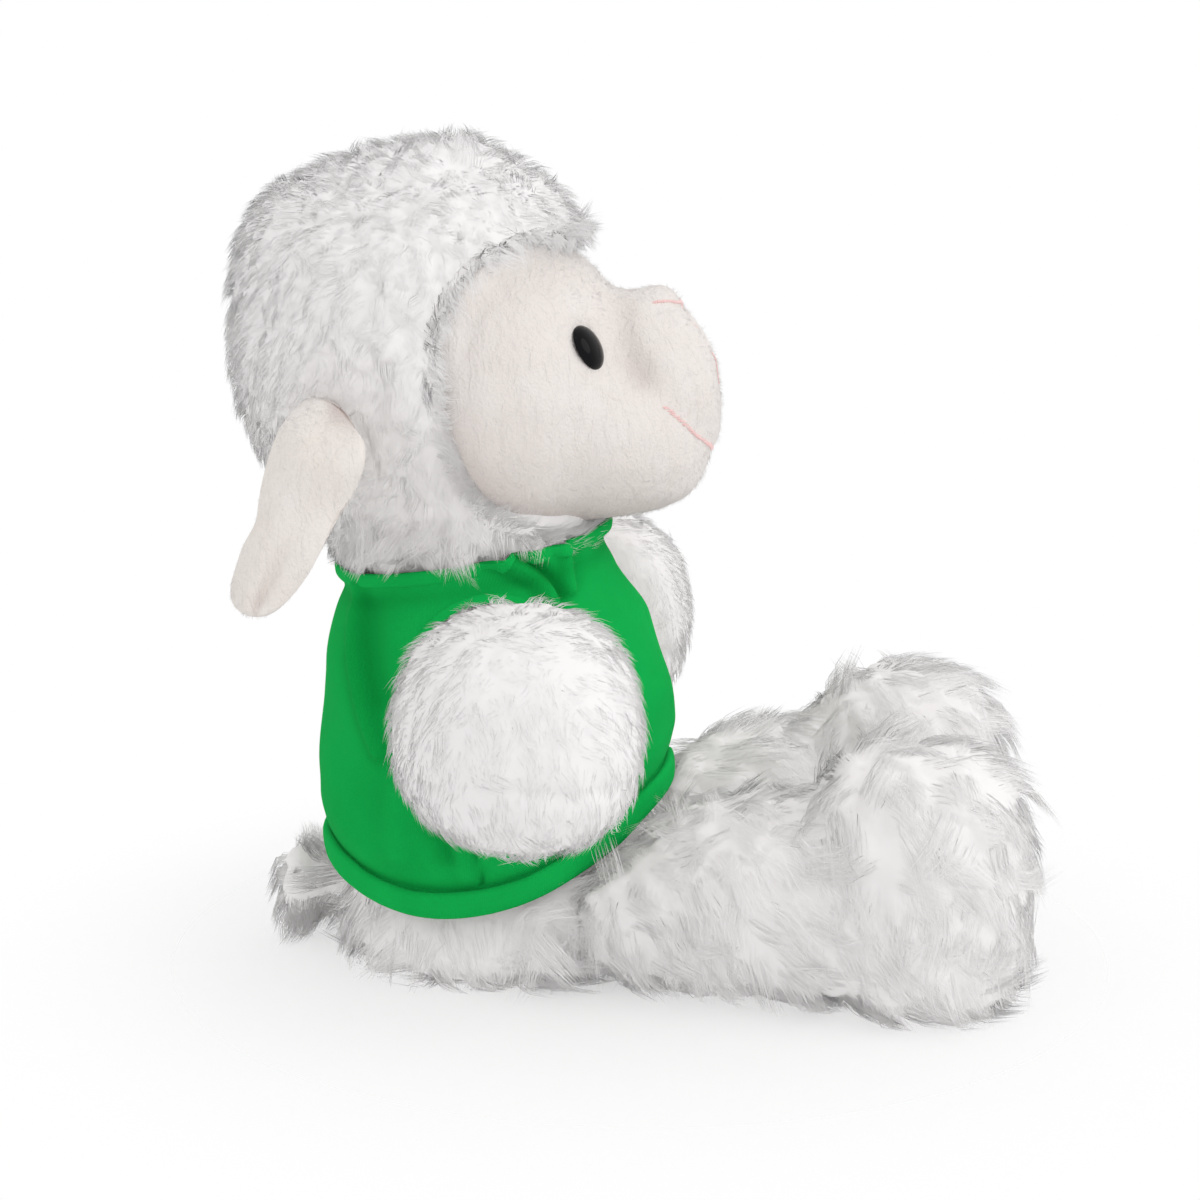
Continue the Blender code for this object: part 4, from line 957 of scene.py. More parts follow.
# the fringe over the collar: its height over the collar's plane, and how far from the neck's axis it starts
collarFringe = {"over": (0.0035, 0.014), "around": 0.024, "clear": 0.001, "out": 0.85}
collarFringeLocks = dict(headLook, locks=0.05e6, swirl=0.35, seed=15)
collarFringeLook = dict(headLook, fibres=4.0e6, length=0.0060, rise=0.32, lean=1.0, curl=0.0012, spread=0.6)
# the fringe round the face, combed towards its middle
seamFringe = {"depth": (-0.0045, 0.0004), "towards": (0, -0.046, 0.140), "aside": 0.3, "down": -0.25,
              "locks": 0.12e6}
seamFringeLook = dict(headLook, fibres=3.6e6, length=0.0056, rise=0.50, lean=0.8, gather=0.6, fuzz=0.5,
                      seed=19, litFrom=headCentre)


def patchDepth(points):
    # how far inside the face's seam a place is, in metres, seen from the side
    (middleY, middleZ), (halfY, halfZ) = facePatch["middle"], facePatch["half"]
    blunt = facePatch["blunt"]
    across = np.maximum(points[:, 1] - middleY, 0) / halfY
    up = np.abs(points[:, 2] - middleZ) / halfZ
    return (1 - (across ** blunt + up ** blunt) ** (1 / blunt)) * min(halfY, halfZ)


def overNeck(points):                   # how far places lie over the collar's plane
    return (points - np.array(neckCentre)) @ np.array(neckAxis)


def shapeHead(skin, shape):
    points, normals = pointsOf(skin), normalsOf(skin)
    crown = ramp(points[:, 2], *shape["crownUp"]) * fall(points[:, 1], *shape["crownEnds"])
    crown = crown * shape["flatten"]
    crown *= shape["crownLeast"] + (1 - shape["crownLeast"]) * ramp(points[:, 1], *shape["crownGrows"])
    back = ramp(points[:, 1], *shape["backFrom"]) * ramp(points[:, 2], *shape["backUp"]) * shape["back"]
    jowl = fall(overNeck(points), *shape["jowlOver"])[:, None]
    hanging = normals * (1, 1, 0) * shape["jowl"] - np.array(neckAxis) * shape["droop"]
    points += normals * back[:, None] + hanging * jowl
    points[:, 2] -= crown
    movePoints(skin, points)


def makeHeadWool(look, shape):
    skin = skinOf("headSkin", headForm, "head_wool_right", "head_wool_left", "head_stuffing", "face_right",
                  "face_left")
    shapeHead(skin, shape)
    field = lockField(skin, look, combDown)
    rest = pointsOf(skin)
    raiseLocks(skin, look, field)
    woolly = fall(patchDepth(rest), *shape["thinning"])[:, None]
    thinned = rest - normalsOf(skin) * shape["thinDepth"] * (1 - woolly)
    movePoints(skin, thinned + (pointsOf(skin) - rest) * woolly)
    dressed(smoothShaded(skin), finishes["woolSkin"], "head", "wool_pile", "head_wool_right", "head_wool_left",
            "head_stuffing")
    for side, sign in sides.items():
        for band, low, high in (("Upper", shape["parted"], 1), ("Lower", shape["bottom"], shape["parted"])):
            def inBand(points):
                inside = (points[:, 0] * sign > 0) & (points[:, 2] > low) & (points[:, 2] <= high)
                return (inside & (patchDepth(points) < shape["seamOverlap"])).astype(float)

            pile = growPile("headPile" + side.title() + band, skin, look, inBand, combDown, field, sign)
            dressed(pile, finishes["woolFibre"], "head", "wool_pile")
    return skin


def makeCollarFringe(skin, look, shape):
    def nearCollar(points):
        gap = overNeck(points)
        around = np.linalg.norm(points[:, :2] - (0, neckCentre.y), axis=1)
        near = (gap > shape["over"][0]) & (gap < shape["over"][1]) & (around > shape["around"])
        return (near & (patchDepth(points) < -shape["clear"])).astype(float)

    def overCollar(points, ups):
        return unit((points - np.array(neckCentre)) * (1, 1, 0)) * shape["out"] + (0, 0, -1.0)

    field = lockField(skin, collarFringeLocks, overCollar)
    fringe = growPile("neckFringe", skin, look, nearCollar, overCollar, field)
    dressed(fringe, finishes["woolFibre"], "head", "wool_pile")


def makeSeamFringe(skin, look, shape):
    def bySeam(points):
        depth = patchDepth(points)
        return ((depth > shape["depth"][0]) & (depth < shape["depth"][1])).astype(float)

    def overSeam(points, ups):
        way = unit(np.array(shape["towards"]) - points * (shape["aside"], 1, 1)) + (0, 0, shape["down"])
        return flatOn(ups, way)

    field = lockField(skin, dict(look, locks=shape["locks"]), overSeam)
    fringe = growPile("seamFringe", skin, look, bySeam, overSeam, field)
    dressed(fringe, finishes["woolFibre"], "head", "wool_pile")


# Face: plump velour, with the nose bump, the creases by the eye and the groove of the mouth worked in

faceForm = dict(woolForm, voxel=0.0015, smoothing=8, fill=0.9, blown=0.0008, finer=0)
mouthHalf = [(0.0170, -0.0388, 0.1388), (0.0145, -0.0436, 0.1359), (0.0110, -0.0474, 0.1327),
             (0.0050, -0.0503, 0.1296)]
faceLook = {
    # place from the middle plane as (aside, y, z), radius, and how far it is pushed out
    "dabs": [
        ((0.000, -0.0410, 0.1690), 0.0052, 0.0026),        # nose bump
        ((0.000, -0.0320, 0.1680), 0.0060, -0.0022),       # dip behind it
        ((0.000, -0.0500, 0.1600), 0.0060, -0.0014),       # bridge under the nose
        ((0.000, -0.0545, 0.1450), 0.0110, -0.0014),
        ((0.010, -0.0490, 0.1420), 0.0100, 0.0004),
        ((0.000, -0.0470, 0.1190), 0.0110, 0.0030),        # chin
        ((0.012, -0.0430, 0.1170), 0.0110, 0.0016),
        ((0.022, -0.0280, 0.1300), 0.0160, 0.0010),        # cheek
    ],
    # grooves as places (aside, y, z), with their depth and width; the creases beside the eye come first
    "grooves": [
        ([(0.010, -0.0300, 0.1700), (0.016, -0.0310, 0.1620), (0.020, -0.0325, 0.1540),
          (0.019, -0.0365, 0.1460), (0.016, -0.0415, 0.1400)], 0.0020, 0.0034),
        ([(0.026, -0.0300, 0.1560), (0.023, -0.0335, 0.1510), (0.021, -0.0360, 0.1470)], 0.0011, 0.0040),
        ([*mouthHalf, (0, -0.0510, 0.1281)], 0.0011, 0.0013),
        ([(0.0105, -0.0394, 0.1655), (0.0085, -0.0426, 0.1662), (0.0050, -0.0466, 0.1656)], 0.0011, 0.0012),
        ([(0.0000, -0.0480, 0.1650), (0.0000, -0.0505, 0.1600), (0.0000, -0.0525, 0.1545)], 0.0036, 0.0024),
        ([(0.034, -0.0020, 0.1140), (0.030, -0.0180, 0.1120), (0.018, -0.0330, 0.1105)], 0.0005, 0.0008),
    ],
    "dive": 0.0050, "diveFrom": (-0.0035, 0.0015),         # the edge goes under the wool
    # painted shade: darker near the seam low on the face, under the chin, and in the creases by the eye
    "edgeShade": 0.45, "edgeFrom": (0.001, 0.012), "edgeUnder": (0.120, 0.150),
    "chinShade": 0.45, "chinUnder": (0.1100, 0.1180), "creases": 2, "creaseShade": 0.20,
    "grooveSteps": 16, "fuzzInside": 0.0005,
}
napPile = {"locks": 0.05e6, "width": 0.00010, "steps": 1, "lean": 1.0, "fuzz": 0.35, "tipRise": 0.0003,
           "arch": 0, "curl": 0, "sink": 0.0002, "rootShade": 0.0}
faceFuzzLook = dict(woolLook, **napPile, fibres=1.2e6, length=0.0014, rise=0.35, gather=0.35, swirl=0.45,
                    soften=0.88, toneSpread=0.8, strand=0.6)
combFace = combTowards(0, 0.75, -0.6)


def mirroredGap(points, route):
    twin = np.stack([np.abs(points[:, 0]), points[:, 1], points[:, 2]], axis=1)
    return routeGap(twin, alongRoute(route, np.linspace(0, 1, faceLook["grooveSteps"])))


def makeFace(look):
    face = skinOf("faceSkin", faceForm, "face_right", "face_left", "head_stuffing")
    points, normals = pointsOf(face), normalsOf(face)
    aside = np.abs(points[:, 0])
    push = np.zeros(len(points))
    for (away, y, z), radius, height in look["dabs"]:
        gap = np.sqrt((aside - away) ** 2 + (points[:, 1] - y) ** 2 + (points[:, 2] - z) ** 2)
        push += height * bell(gap, radius)
    for route, depth, width in look["grooves"]:
        push -= depth * bell(mirroredGap(points, route), width)
    push -= look["dive"] * fall(patchDepth(points), *look["diveFrom"])
    movePoints(face, points + normals * push[:, None])
    with editing(face):
        bpy.ops.mesh.vertices_smooth(factor=0.4, repeat=1)
    points = pointsOf(face)
    depth, heights = patchDepth(points), points[:, 2]
    # painted shade near the seam low on the face, under the chin and in the creases by the eye
    tone = look["edgeShade"] * fall(depth, *look["edgeFrom"]) * fall(heights, *look["edgeUnder"])
    tone += look["chinShade"] * fall(heights, *look["chinUnder"])
    for route, _, width in look["grooves"][:look["creases"]]:
        tone += look["creaseShade"] * bell(mirroredGap(points, route), width)
    toned(face.data, tone)
    dressed(smoothShaded(face), finishes["creamVelour"], "head", "face_velour", "face_right", "face_left")

    def insideSeam(points):
        return (patchDepth(points) > look["fuzzInside"]).astype(float)

    field = lockField(face, faceFuzzLook, combFace)
    fuzz = growPile("faceFuzz", face, faceFuzzLook, insideSeam, combFace, field)
    dressed(fuzz, finishes["velourFibre"], "head", "face_velour")
    return face


# Eyes: polished domes with a stem, which the nap closes round

eyeLook = {"aim": (0.50, 0.74, 0.45), "turned": (0.25, 0.855, 0.455), "radius": 0.0057, "height": 0.0028,
           "packedHeight": 0.0042, "rim": 0.0004, "out": 0.0001, "drop": 0.0012,
           "under": 0.0016, "stem": 0.0020, "stemLength": 0.0050, "stemFrom": (0.25, 0.45), "stemRound": 0.6}


def makeEye(side, sign, look):
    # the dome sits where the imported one's rim is, and its lower half narrows to the stem
    mirror = Vector((sign, -1, 1))
    aim = (Vector(look["aim"]) * mirror).normalized()
    packed = np.array([vertex.co[:] for vertex in nodes["eye_" + side].data.vertices])
    along = packed @ np.array(aim)
    rim = packed[np.abs(along - (along.max() - look["packedHeight"])) < look["rim"]]
    seat = Vector(rim.mean(axis=0)) + aim * look["out"]
    bpy.ops.object.select_all(action="DESELECT")
    bpy.ops.mesh.primitive_uv_sphere_add(segments=48, ring_count=24, radius=1)
    eye = named("eyeDome" + side.title())
    shape = pointsOf(eye)
    high = shape[:, 2] > 0
    shape[high] *= (look["radius"], look["radius"], look["height"])
    low = shape[~high]
    inner = ramp(-low[:, 2], *look["stemFrom"])[:, None]
    closing = np.minimum(1, np.linalg.norm(low[:, :2], axis=1, keepdims=True) / look["stemRound"])
    stem = unit(low * (1, 1, 0)) * look["stem"] * closing + (0, 0, look["stemLength"]) * low[:, 2:3]
    shape[~high] = low * (look["radius"], look["radius"], look["under"]) * (1 - inner) + stem * inner
    turned = (Vector(look["turned"]) * mirror).normalized()
    turn = turned.to_track_quat("Z", "Y").to_matrix()
    movePoints(eye, shape @ np.array(turn).T + np.array(seat) - (0, 0, look["drop"]))
    return dressed(smoothShaded(eye), finishes["eyeBlack"], "head", "eye_plastic", "eye_" + side)


# Nose and mouth: rows of small slanted stitches

stitchLook = {"length": 0.0018, "thickness": 0.00042, "pitch": 0.00060, "slant": 0.85, "stand": 0.00012,
              "slantStray": 0.15, "lengthStray": 0.1, "seed": 5, "measured": 40}
mouthLook = dict(stitchLook, length=0.0017, slant=0.7)
noseTop = (0, -0.0484, 0.1645)
nostrilHalf = [(0.0105, -0.0394, 0.1655), (0.0085, -0.0426, 0.1662), (0.0060, -0.0462, 0.1655),
               (0.0025, -0.0478, 0.1652)]
noseRoutes = [[(sign * x, y, z) for x, y, z in nostrilHalf] + [noseTop] for sign in sides.values()]
noseRoutes.append([noseTop, (0, -0.0510, 0.1590), (0, -0.0535, 0.1510), (0, -0.0550, 0.1440)])
mouthRoute = [(-x, y, z) for x, y, z in mouthHalf] + [(0, -0.0512, 0.1283)] + mouthHalf[::-1]


def stitchRow(name, face, routes, look):
    tree = treeOf(face)
    draw = np.random.default_rng(look["seed"])
    stitches = []
    for route in routes:
        line = alongRoute(route, np.linspace(0, 1, look["measured"]))
        count = int(np.linalg.norm(np.diff(line, axis=0), axis=1).sum() / look["pitch"])
        line = alongRoute(route, np.linspace(0, 1, count))
        for index, place in enumerate(line):
            spot, normal = tree.find_nearest(Vector(place))[:2]
            ahead = Vector(line[min(index + 1, count - 1)] - line[max(index - 1, 0)])
            along = (ahead - normal * ahead.dot(normal)).normalized()
            across = normal.cross(along)
            lean = (along + across * (look["slant"] + look["slantStray"] * draw.normal())).normalized()
            bpy.ops.object.select_all(action="DESELECT")
            bpy.ops.mesh.primitive_uv_sphere_add(segments=8, ring_count=6, radius=1)
            stitch = bpy.context.active_object
            thick, long = look["thickness"] / 2, look["length"] / 2 * (1 + look["lengthStray"] * draw.normal())
            turn = np.array([tuple(normal.cross(lean)), tuple(normal), tuple(lean)])
            seat = np.array(spot + normal * look["stand"])
            movePoints(stitch, (pointsOf(stitch) * (thick, thick, long)) @ turn + seat)
            stitches.append(stitch)
    pick(*stitches)
    bpy.ops.object.join()
    row = named(name)
    with editing(row):
        bpy.ops.mesh.normals_make_consistent(inside=False)
    return smoothShaded(row)


# Ears: soft drop ears, pinched at the root and cupped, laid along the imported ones

earLook = {
    # front and back edges down the ear as (y, z)
    "front": [(0.0325, 0.1432), (0.0296, 0.1414), (0.0258, 0.1388), (0.0226, 0.1360), (0.0222, 0.1325),
              (0.0229, 0.1285), (0.0250, 0.1240), (0.0285, 0.1185), (0.0315, 0.1125), (0.0350, 0.1060),
              (0.0395, 0.1003), (0.0445, 0.0962)],
    "back": [(0.0375, 0.1440), (0.0408, 0.1428), (0.0430, 0.1388), (0.0449, 0.1330), (0.0460, 0.1270),
             (0.0467, 0.1220), (0.0470, 0.1175), (0.0500, 0.1130), (0.0514, 0.1084), (0.0532, 0.1030),
             (0.0524, 0.0990), (0.0490, 0.0966)],
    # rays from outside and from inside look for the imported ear's two faces, no lower than its tip
    "farOut": 0.10, "farIn": 0.02, "tip": 0.0975, "bends": 4,
    "fill": 0.4, "blown": 0.0004, "smoothing": 2,
    "ends": 0.05, "flat": 0.85, "thickness": 0.0030, "edge": 0.55, "rootThick": 0.5, "rootThickTo": 0.25,
    "cup": 0.0042, "cupLine": 0.3, "cupTo": (0.15, 0.9), "cupBack": 0.4, "cupFrom": (0.05, 0.5),
    "root": 0.17, "rootTop": 0.01, "seat": 0.0006,         # the root leans in and stands on the wool
}
# dents in the outer face: depth, place and width, and where each starts and ends across or down the ear
earDents = {
    "crease": (0.0016, 0.1, 0.15), "creaseFrom": (0.5, 0.75), "creaseTo": (0.88, 0.97),
    "hollow": (0.0028, 0.10, 0.07), "hollowAcross": (0.1, 0.75),
    "knee": (0.0036, 0.27, 0.12), "kneeBelow": (0.35, 0.52), "kneeAcross": (-1.2, 0.6),
}
# painted shade in the crease and the hollow, and darker near the tip: share, place and width
earTones = {
    "crease": (0.5, 0.1, 0.14), "creaseFrom": (0.55, 0.85),
    "hollow": (0.95, 0.07, 0.07), "hollowAcross": (0.0, 0.7),
    "tip": (0.35, 0.90, 0.05), "tipAcross": 0.25,
}
earFuzzLook = dict(woolLook, **napPile, fibres=1.3e6, length=0.0013, rise=0.4, gather=0.3, swirl=0.3,
                   soften=0.97, toneSpread=0.0)
combEar = combTowards(0, 0.35, -1.0)


def earSpine(side, sign, down, places, middle, look):
    # how far out the middle of the cloth is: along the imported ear, and in to the head's wool at the root
    tree = treeOf(copiesOf(f"ear_{side}_outer", f"ear_{side}_inner"))
    bpy.data.objects.remove(bpy.context.active_object)
    outs = []
    for y, z in middle:
        hits = [tree.ray_cast(Vector((sign * start, y, max(z, look["tip"]))), Vector((way, 0, 0)))[0]
                for start, way in ((look["farOut"], -sign), (look["farIn"], sign))]
        outs.append(np.nan if None in hits else abs(hits[0].x + hits[1].x) / 2)
    outs = np.array(outs)
    known = ~np.isnan(outs)
    order = np.argsort(down[known])
    outs = np.interp(down, down[known][order], outs[known][order])
    spine = np.poly1d(np.polyfit(down, outs, look["bends"]))(down)
    head = treeOf(bpy.data.objects["headSkin"])
    for index in np.flatnonzero(down < look["root"]):
        hit = head.ray_cast(Vector((sign * look["farOut"], *places[index])), Vector((-sign, 0, 0)))[0]
        if hit is not None:
            share = float(fall(down[index], look["rootTop"], look["root"]))
            spine[index] += (abs(hit.x) + look["seat"] - spine[index]) * share
    return spine


def makeEar(side, sign, look):
    bpy.ops.object.select_all(action="DESELECT")
    bpy.ops.mesh.primitive_uv_sphere_add(segments=40, ring_count=44, radius=1)
    ear = named("ear" + side.title())
    shape = pointsOf(ear)
    down = np.arccos(np.clip(shape[:, 2], -1, 1)) / math.pi
    angle = np.arctan2(shape[:, 1], shape[:, 0])
    across, outer = np.cos(angle), np.sin(angle)
    front, back = alongRoute(look["front"], down), alongRoute(look["back"], down)
    middle, half = (front + back) / 2, (front - back) / 2
    closing = np.minimum(1, np.minimum(down / look["ends"], (1 - down) / look["ends"]))
    closing = np.sqrt(np.clip(closing * (2 - closing), 0, 1))
    flat = np.sign(across) * np.abs(across) ** look["flat"]
    places = middle + half * (flat * closing)[:, None]
    spine = earSpine(side, sign, down, places, middle, look)
    thick = look["thickness"] * closing * (1 - look["edge"] * np.abs(across) ** 3)
    thick *= 1 + look["rootThick"] * fall(down, 0, look["rootThickTo"])
    bowl = look["cup"] * fall(down, *look["cupTo"]) * (np.abs(flat) ** 2 - look["cupLine"])
    bowl = bowl * np.where(flat > 0, 1.0, -look["cupBack"]) * fall(down, *look["cupFrom"])
    depth, line, width = earDents["crease"]
    dent = depth * bell(flat - line, width) * ramp(down, *earDents["creaseFrom"])
    dent = dent * fall(down, *earDents["creaseTo"])
    depth, at, width = earDents["hollow"]
    dent += depth * bell(down - at, width) * ramp(flat, *earDents["hollowAcross"])
    depth, at, width = earDents["knee"]
    share, below = earDents["kneeBelow"]
    knee = bell(down - at, width) - share * bell(down - below, width)
    dent -= depth * knee * ramp(flat, *earDents["kneeAcross"])
    away = spine + outer * thick + bowl - dent * (outer > 0)
    movePoints(ear, np.stack([sign * away, places[:, 0], places[:, 1]], axis=1))
    with editing(ear):
        bpy.ops.mesh.vertices_smooth(factor=0.4, repeat=look["smoothing"])
        bpy.ops.mesh.normals_make_consistent(inside=False)
    stuffed(ear, look)
    # painted shade in the crease and in the hollow at the root, and darker near the tip
    share, line, width = earTones["crease"]
    tone = share * bell(flat - line, width) * ramp(down, *earTones["creaseFrom"]) * (outer > 0)
    share, at, width = earTones["hollow"]
    tone += share * bell(down - at, width) * ramp(flat, *earTones["hollowAcross"])
    share, at, width = earTones["tip"]
    tone += share * bell(down - at, width) * bell(flat, earTones["tipAcross"]) * (outer > 0)
    toned(ear.data, tone)
    dressed(smoothShaded(ear), finishes["earVelour"], "ear_" + side, "ear_velour", f"ear_{side}_outer",
            f"ear_{side}_inner")
    field = lockField(ear, earFuzzLook, combEar)
    fuzz = growPile("earFuzz" + side.title(), ear, earFuzzLook, everywhere, combEar, field)
    dressed(fuzz, finishes["velourFibre"], "ear_" + side, "ear_velour")


# Arms, legs, tail and seat: long silky tufts over smooth stuffed forms

armForm = dict(woolForm, setBack=0.0004)
armShape = {
    # fuller below, in front and behind, but for the part inside the armhole
    "lower": 0.0048, "forward": {"right": 0.0042, "left": 0.0074}, "facing": -0.2, "back": 0.0012,
    "inner": 0.046, "innerFade": 0.012,
    "creaseHeight": 0.0665, "creaseY": (-0.036, -0.012), "creaseFade": 0.006, "creaseDepth": 0.0010,
    "creaseWidth": 0.0014,
}
armLook = dict(woolLook, seed=51, fibres=1.0e6, locks=0.055e6, lockLength=0.0060, lockWidth=0.6,
               lockHeight=0.0008, length=0.0046, width=0.00016, rise=0.22, lean=1.0, fuzz=0.30, swirl=0.45,
               curl=0.0010, spread=0.45, tipRise=0.0006, arch=0.10, uneven=0.35, toneSpread=0.8, rootShade=0.5)
combArm = combTowards(0, -0.15, -1.0)

legForm = dict(woolForm, voxel=0.0028, setBack=0.0068)
legShape = {
    "way": (0.19081, -0.98163), "bend": 0.012,             # the way of the leg, and half the span at the hip between its two bodies, though nothing bends it there
    "parts": {"Thigh": (-0.070, 1), "Shin": (-0.100, -0.070), "Foot": (-1, -0.100)},
    # the foot: fuller in front and aside, and below along the whole leg
    "front": 0.0032, "frontFacing": (0.1, 0.9), "aside": 0.0012, "asideFacing": (0.3, 1),
    "footFrom": (0.078, 0.095), "under": 0.0050, "underFacing": (0.0, 0.8),
    # the thigh: fuller on top, and held under the shirt's hem
    "full": 0.0048, "fullFrom": (-0.030, -0.010), "fullTo": (0.020, 0.060), "fullFacing": (-0.7, 0.2),
    "lid": 0.0078, "lidFrom": (-0.054, -0.048), "lidFade": (-0.004, 0.002),
}
legLook = dict(woolLook, seed=31, fibres=1.42e6, locks=0.028e6, lockLength=0.0105, lockWidth=0.5,
               lockHeight=0.0024, length=0.0098, width=0.00015, rise=0.17, lean=1.0, fuzz=0.24, swirl=0.50,
               curl=0.0020, spread=0.40, tipRise=0.0016, arch=0.09, uneven=0.40, gather=0.82, soften=0.90,
               strand=0.7, toneSpread=0.35, rootShade=0.1)
combLeg = combTowards(0, -0.45, -0.8)

tailForm = dict(woolForm, voxel=0.002, setBack=0.003, finer=0)
tailShape = {"behind": 0.037}                              # the pile grows on what stands behind this y
tailLook = dict(legLook, seed=71, fibres=2.4e6, length=0.0090, rise=0.42, strand=0.4,
                litFrom=(0, 0.020, -0.030))
combTail = combTowards(0, 0.55, -0.8)

torsoForm = dict(woolForm, voxel=0.003, blown=0.0005, setBack=0.0035, finer=0)
seatShape = {
    # below the hem the seat spreads and settles on the floor
    "below": (0, 0.009), "spread": 0.0095, "across": 0.35, "settle": 0.0050, "settleFrom": (0.012, 0.030),
    "floor": 0.0016, "shownBelow": (-0.001, 0.003), "pileBelow": 0.001,
    "fringeAside": 0.016, "fringeY": (-0.026, -0.006), "fan": (14, 10, 0),
}
seatLook = dict(legLook, seed=81, length=0.0100, rise=0.34, fibres=1.05e6, lockHeight=0.0018)
hipFringeLook = dict(seatLook, fibres=2.0e6, length=0.0120, rise=0.45, seed=83)
combHip = combTowards(0, -1.0, -0.35)

# where wool may grow beside the shirt: over the body by these lifts, or this far under the hem
shirtClear = {"leg": 0.002, "arm": 0.0035, "under": 0.0015, "wellUnder": 0.004, "inFront": -0.046}


def outsideBody(points, lift):
    body = bodyPoint(np.arctan2(points[:, 0], -points[:, 1]), points[:, 2], lift)
    return np.linalg.norm(points[:, :2], axis=1) > np.linalg.norm(body[:, :2], axis=1)


def belowHem(points):                   # how far places are below the shirt's hem
    return hemHeight(points[:, 1]) - points[:, 2]


def clearOfShirt(points):
    below = belowHem(points)
    free = (below > shirtClear["under"]) | (points[:, 1] < shirtClear["inFront"])
    return (outsideBody(points, shirtClear["leg"]) & free) | (below > shirtClear["wellUnder"])


def outsideShirt(points):
    return outsideBody(points, shirtClear["arm"]).astype(float)


def shapeLeg(skin, hip, way, shape):
    points, normals = pointsOf(skin), normalsOf(skin)
    along = (points - np.array(hip)) @ np.array(way)
    push = shape["front"] * ramp(-normals[:, 1], *shape["frontFacing"])
    push += shape["aside"] * ramp(np.abs(normals[:, 0]), *shape["asideFacing"])
    push = push * ramp(-points[:, 1], *shape["footFrom"])
    push += shape["under"] * ramp(-normals[:, 2], *shape["underFacing"])
    points = points + normals * push[:, None]
    full = shape["full"] * ramp(along, *shape["fullFrom"]) * fall(along, *shape["fullTo"])
    points += normals * (full * ramp(normals[:, 2], *shape["fullFacing"]))[:, None]
    lid = hemHeight(points[:, 1]) - shape["lid"]
    held = ramp(points[:, 1], *shape["lidFrom"]) * ramp(points[:, 2] - lid, *shape["lidFade"])
    points[:, 2] -= held * np.maximum(points[:, 2] - lid, 0)
    movePoints(skin, points)


def makeLeg(side, sign, look, shape):
    skin = skinOf("legSkin" + side.title(), legForm, f"leg_{side}_cover", f"leg_{side}_stuffing")
    hip = joints[f"hip_{side}_lift"]
    aside, forward = shape["way"]
    way = Vector((sign * aside, forward, 0))
    shapeLeg(skin, hip, way, shape)
    field = lockField(skin, look, combLeg)
    raiseLocks(skin, look, field)
    bend = ("torso", "leg_" + side, hip - way * shape["bend"], hip + way * shape["bend"])
    dressed(smoothShaded(skin), finishes["woolSkin"], bend, "wool_pile", f"leg_{side}_cover",
            f"leg_{side}_stuffing")
    for part, (low, high) in shape["parts"].items():
        def onPart(points):
            return ((points[:, 1] > low) & (points[:, 1] <= high) & clearOfShirt(points)).astype(float)

        pile = growPile("leg" + part + "Pile" + side.title(), skin, look, onPart, combLeg, field, sign)
        dressed(pile, finishes["woolFibre"], bend, "wool_pile")


def makeArm(side, sign, look, shape):
    skin = skinOf("armSkin" + side.title(), armForm, f"arm_{side}_cover", f"arm_{side}_stuffing")
    points, normals = pointsOf(skin), normalsOf(skin)
    push = shape["lower"] * ramp(-normals[:, 2], shape["facing"], 1)
    push += shape["forward"][side] * ramp(-normals[:, 1], shape["facing"], 1)
    push += shape["back"] * ramp(normals[:, 1], 0, 1)
    push *= ramp(np.abs(points[:, 0]), shape["inner"], shape["inner"] + shape["innerFade"])
    start, end = shape["creaseY"]
    fold = bell(points[:, 2] - shape["creaseHeight"], shape["creaseWidth"])
    fade = shape["creaseFade"]
    fold *= ramp(points[:, 1], start, start + fade) * fall(points[:, 1], end - fade, end)
    movePoints(skin, points + normals * (push - shape["creaseDepth"] * fold)[:, None])
    field = lockField(skin, look, combArm)
    raiseLocks(skin, look, field)
    dressed(smoothShaded(skin), finishes["woolSkin"], "arm_" + side, "wool_pile", f"arm_{side}_cover",
            f"arm_{side}_stuffing")
    pile = growPile("armPile" + side.title(), skin, look, outsideShirt, combArm, field, sign)
    dressed(pile, finishes["woolFibre"], "arm_" + side, "wool_pile")


def makeTail(look, shape):
    skin = skinOf("tailSkin", tailForm, "tail_cover", "tail_stuffing")
    field = lockField(skin, look, combTail)
    raiseLocks(skin, look, field)
    dressed(smoothShaded(skin), finishes["woolSkin"], "tail", "wool_pile", "tail_cover", "tail_stuffing")

    def behindSeat(points):
        return (points[:, 1] > shape["behind"]).astype(float)

    pile = growPile("tailPile", skin, look, behindSeat, combTail, field)
    dressed(pile, finishes["woolFibre"], "tail", "wool_pile")


def combSeat(points, ups):              # out from under the body and down
    return flatOn(ups, points * seatShape["fan"] + (0, 0, -1.0))


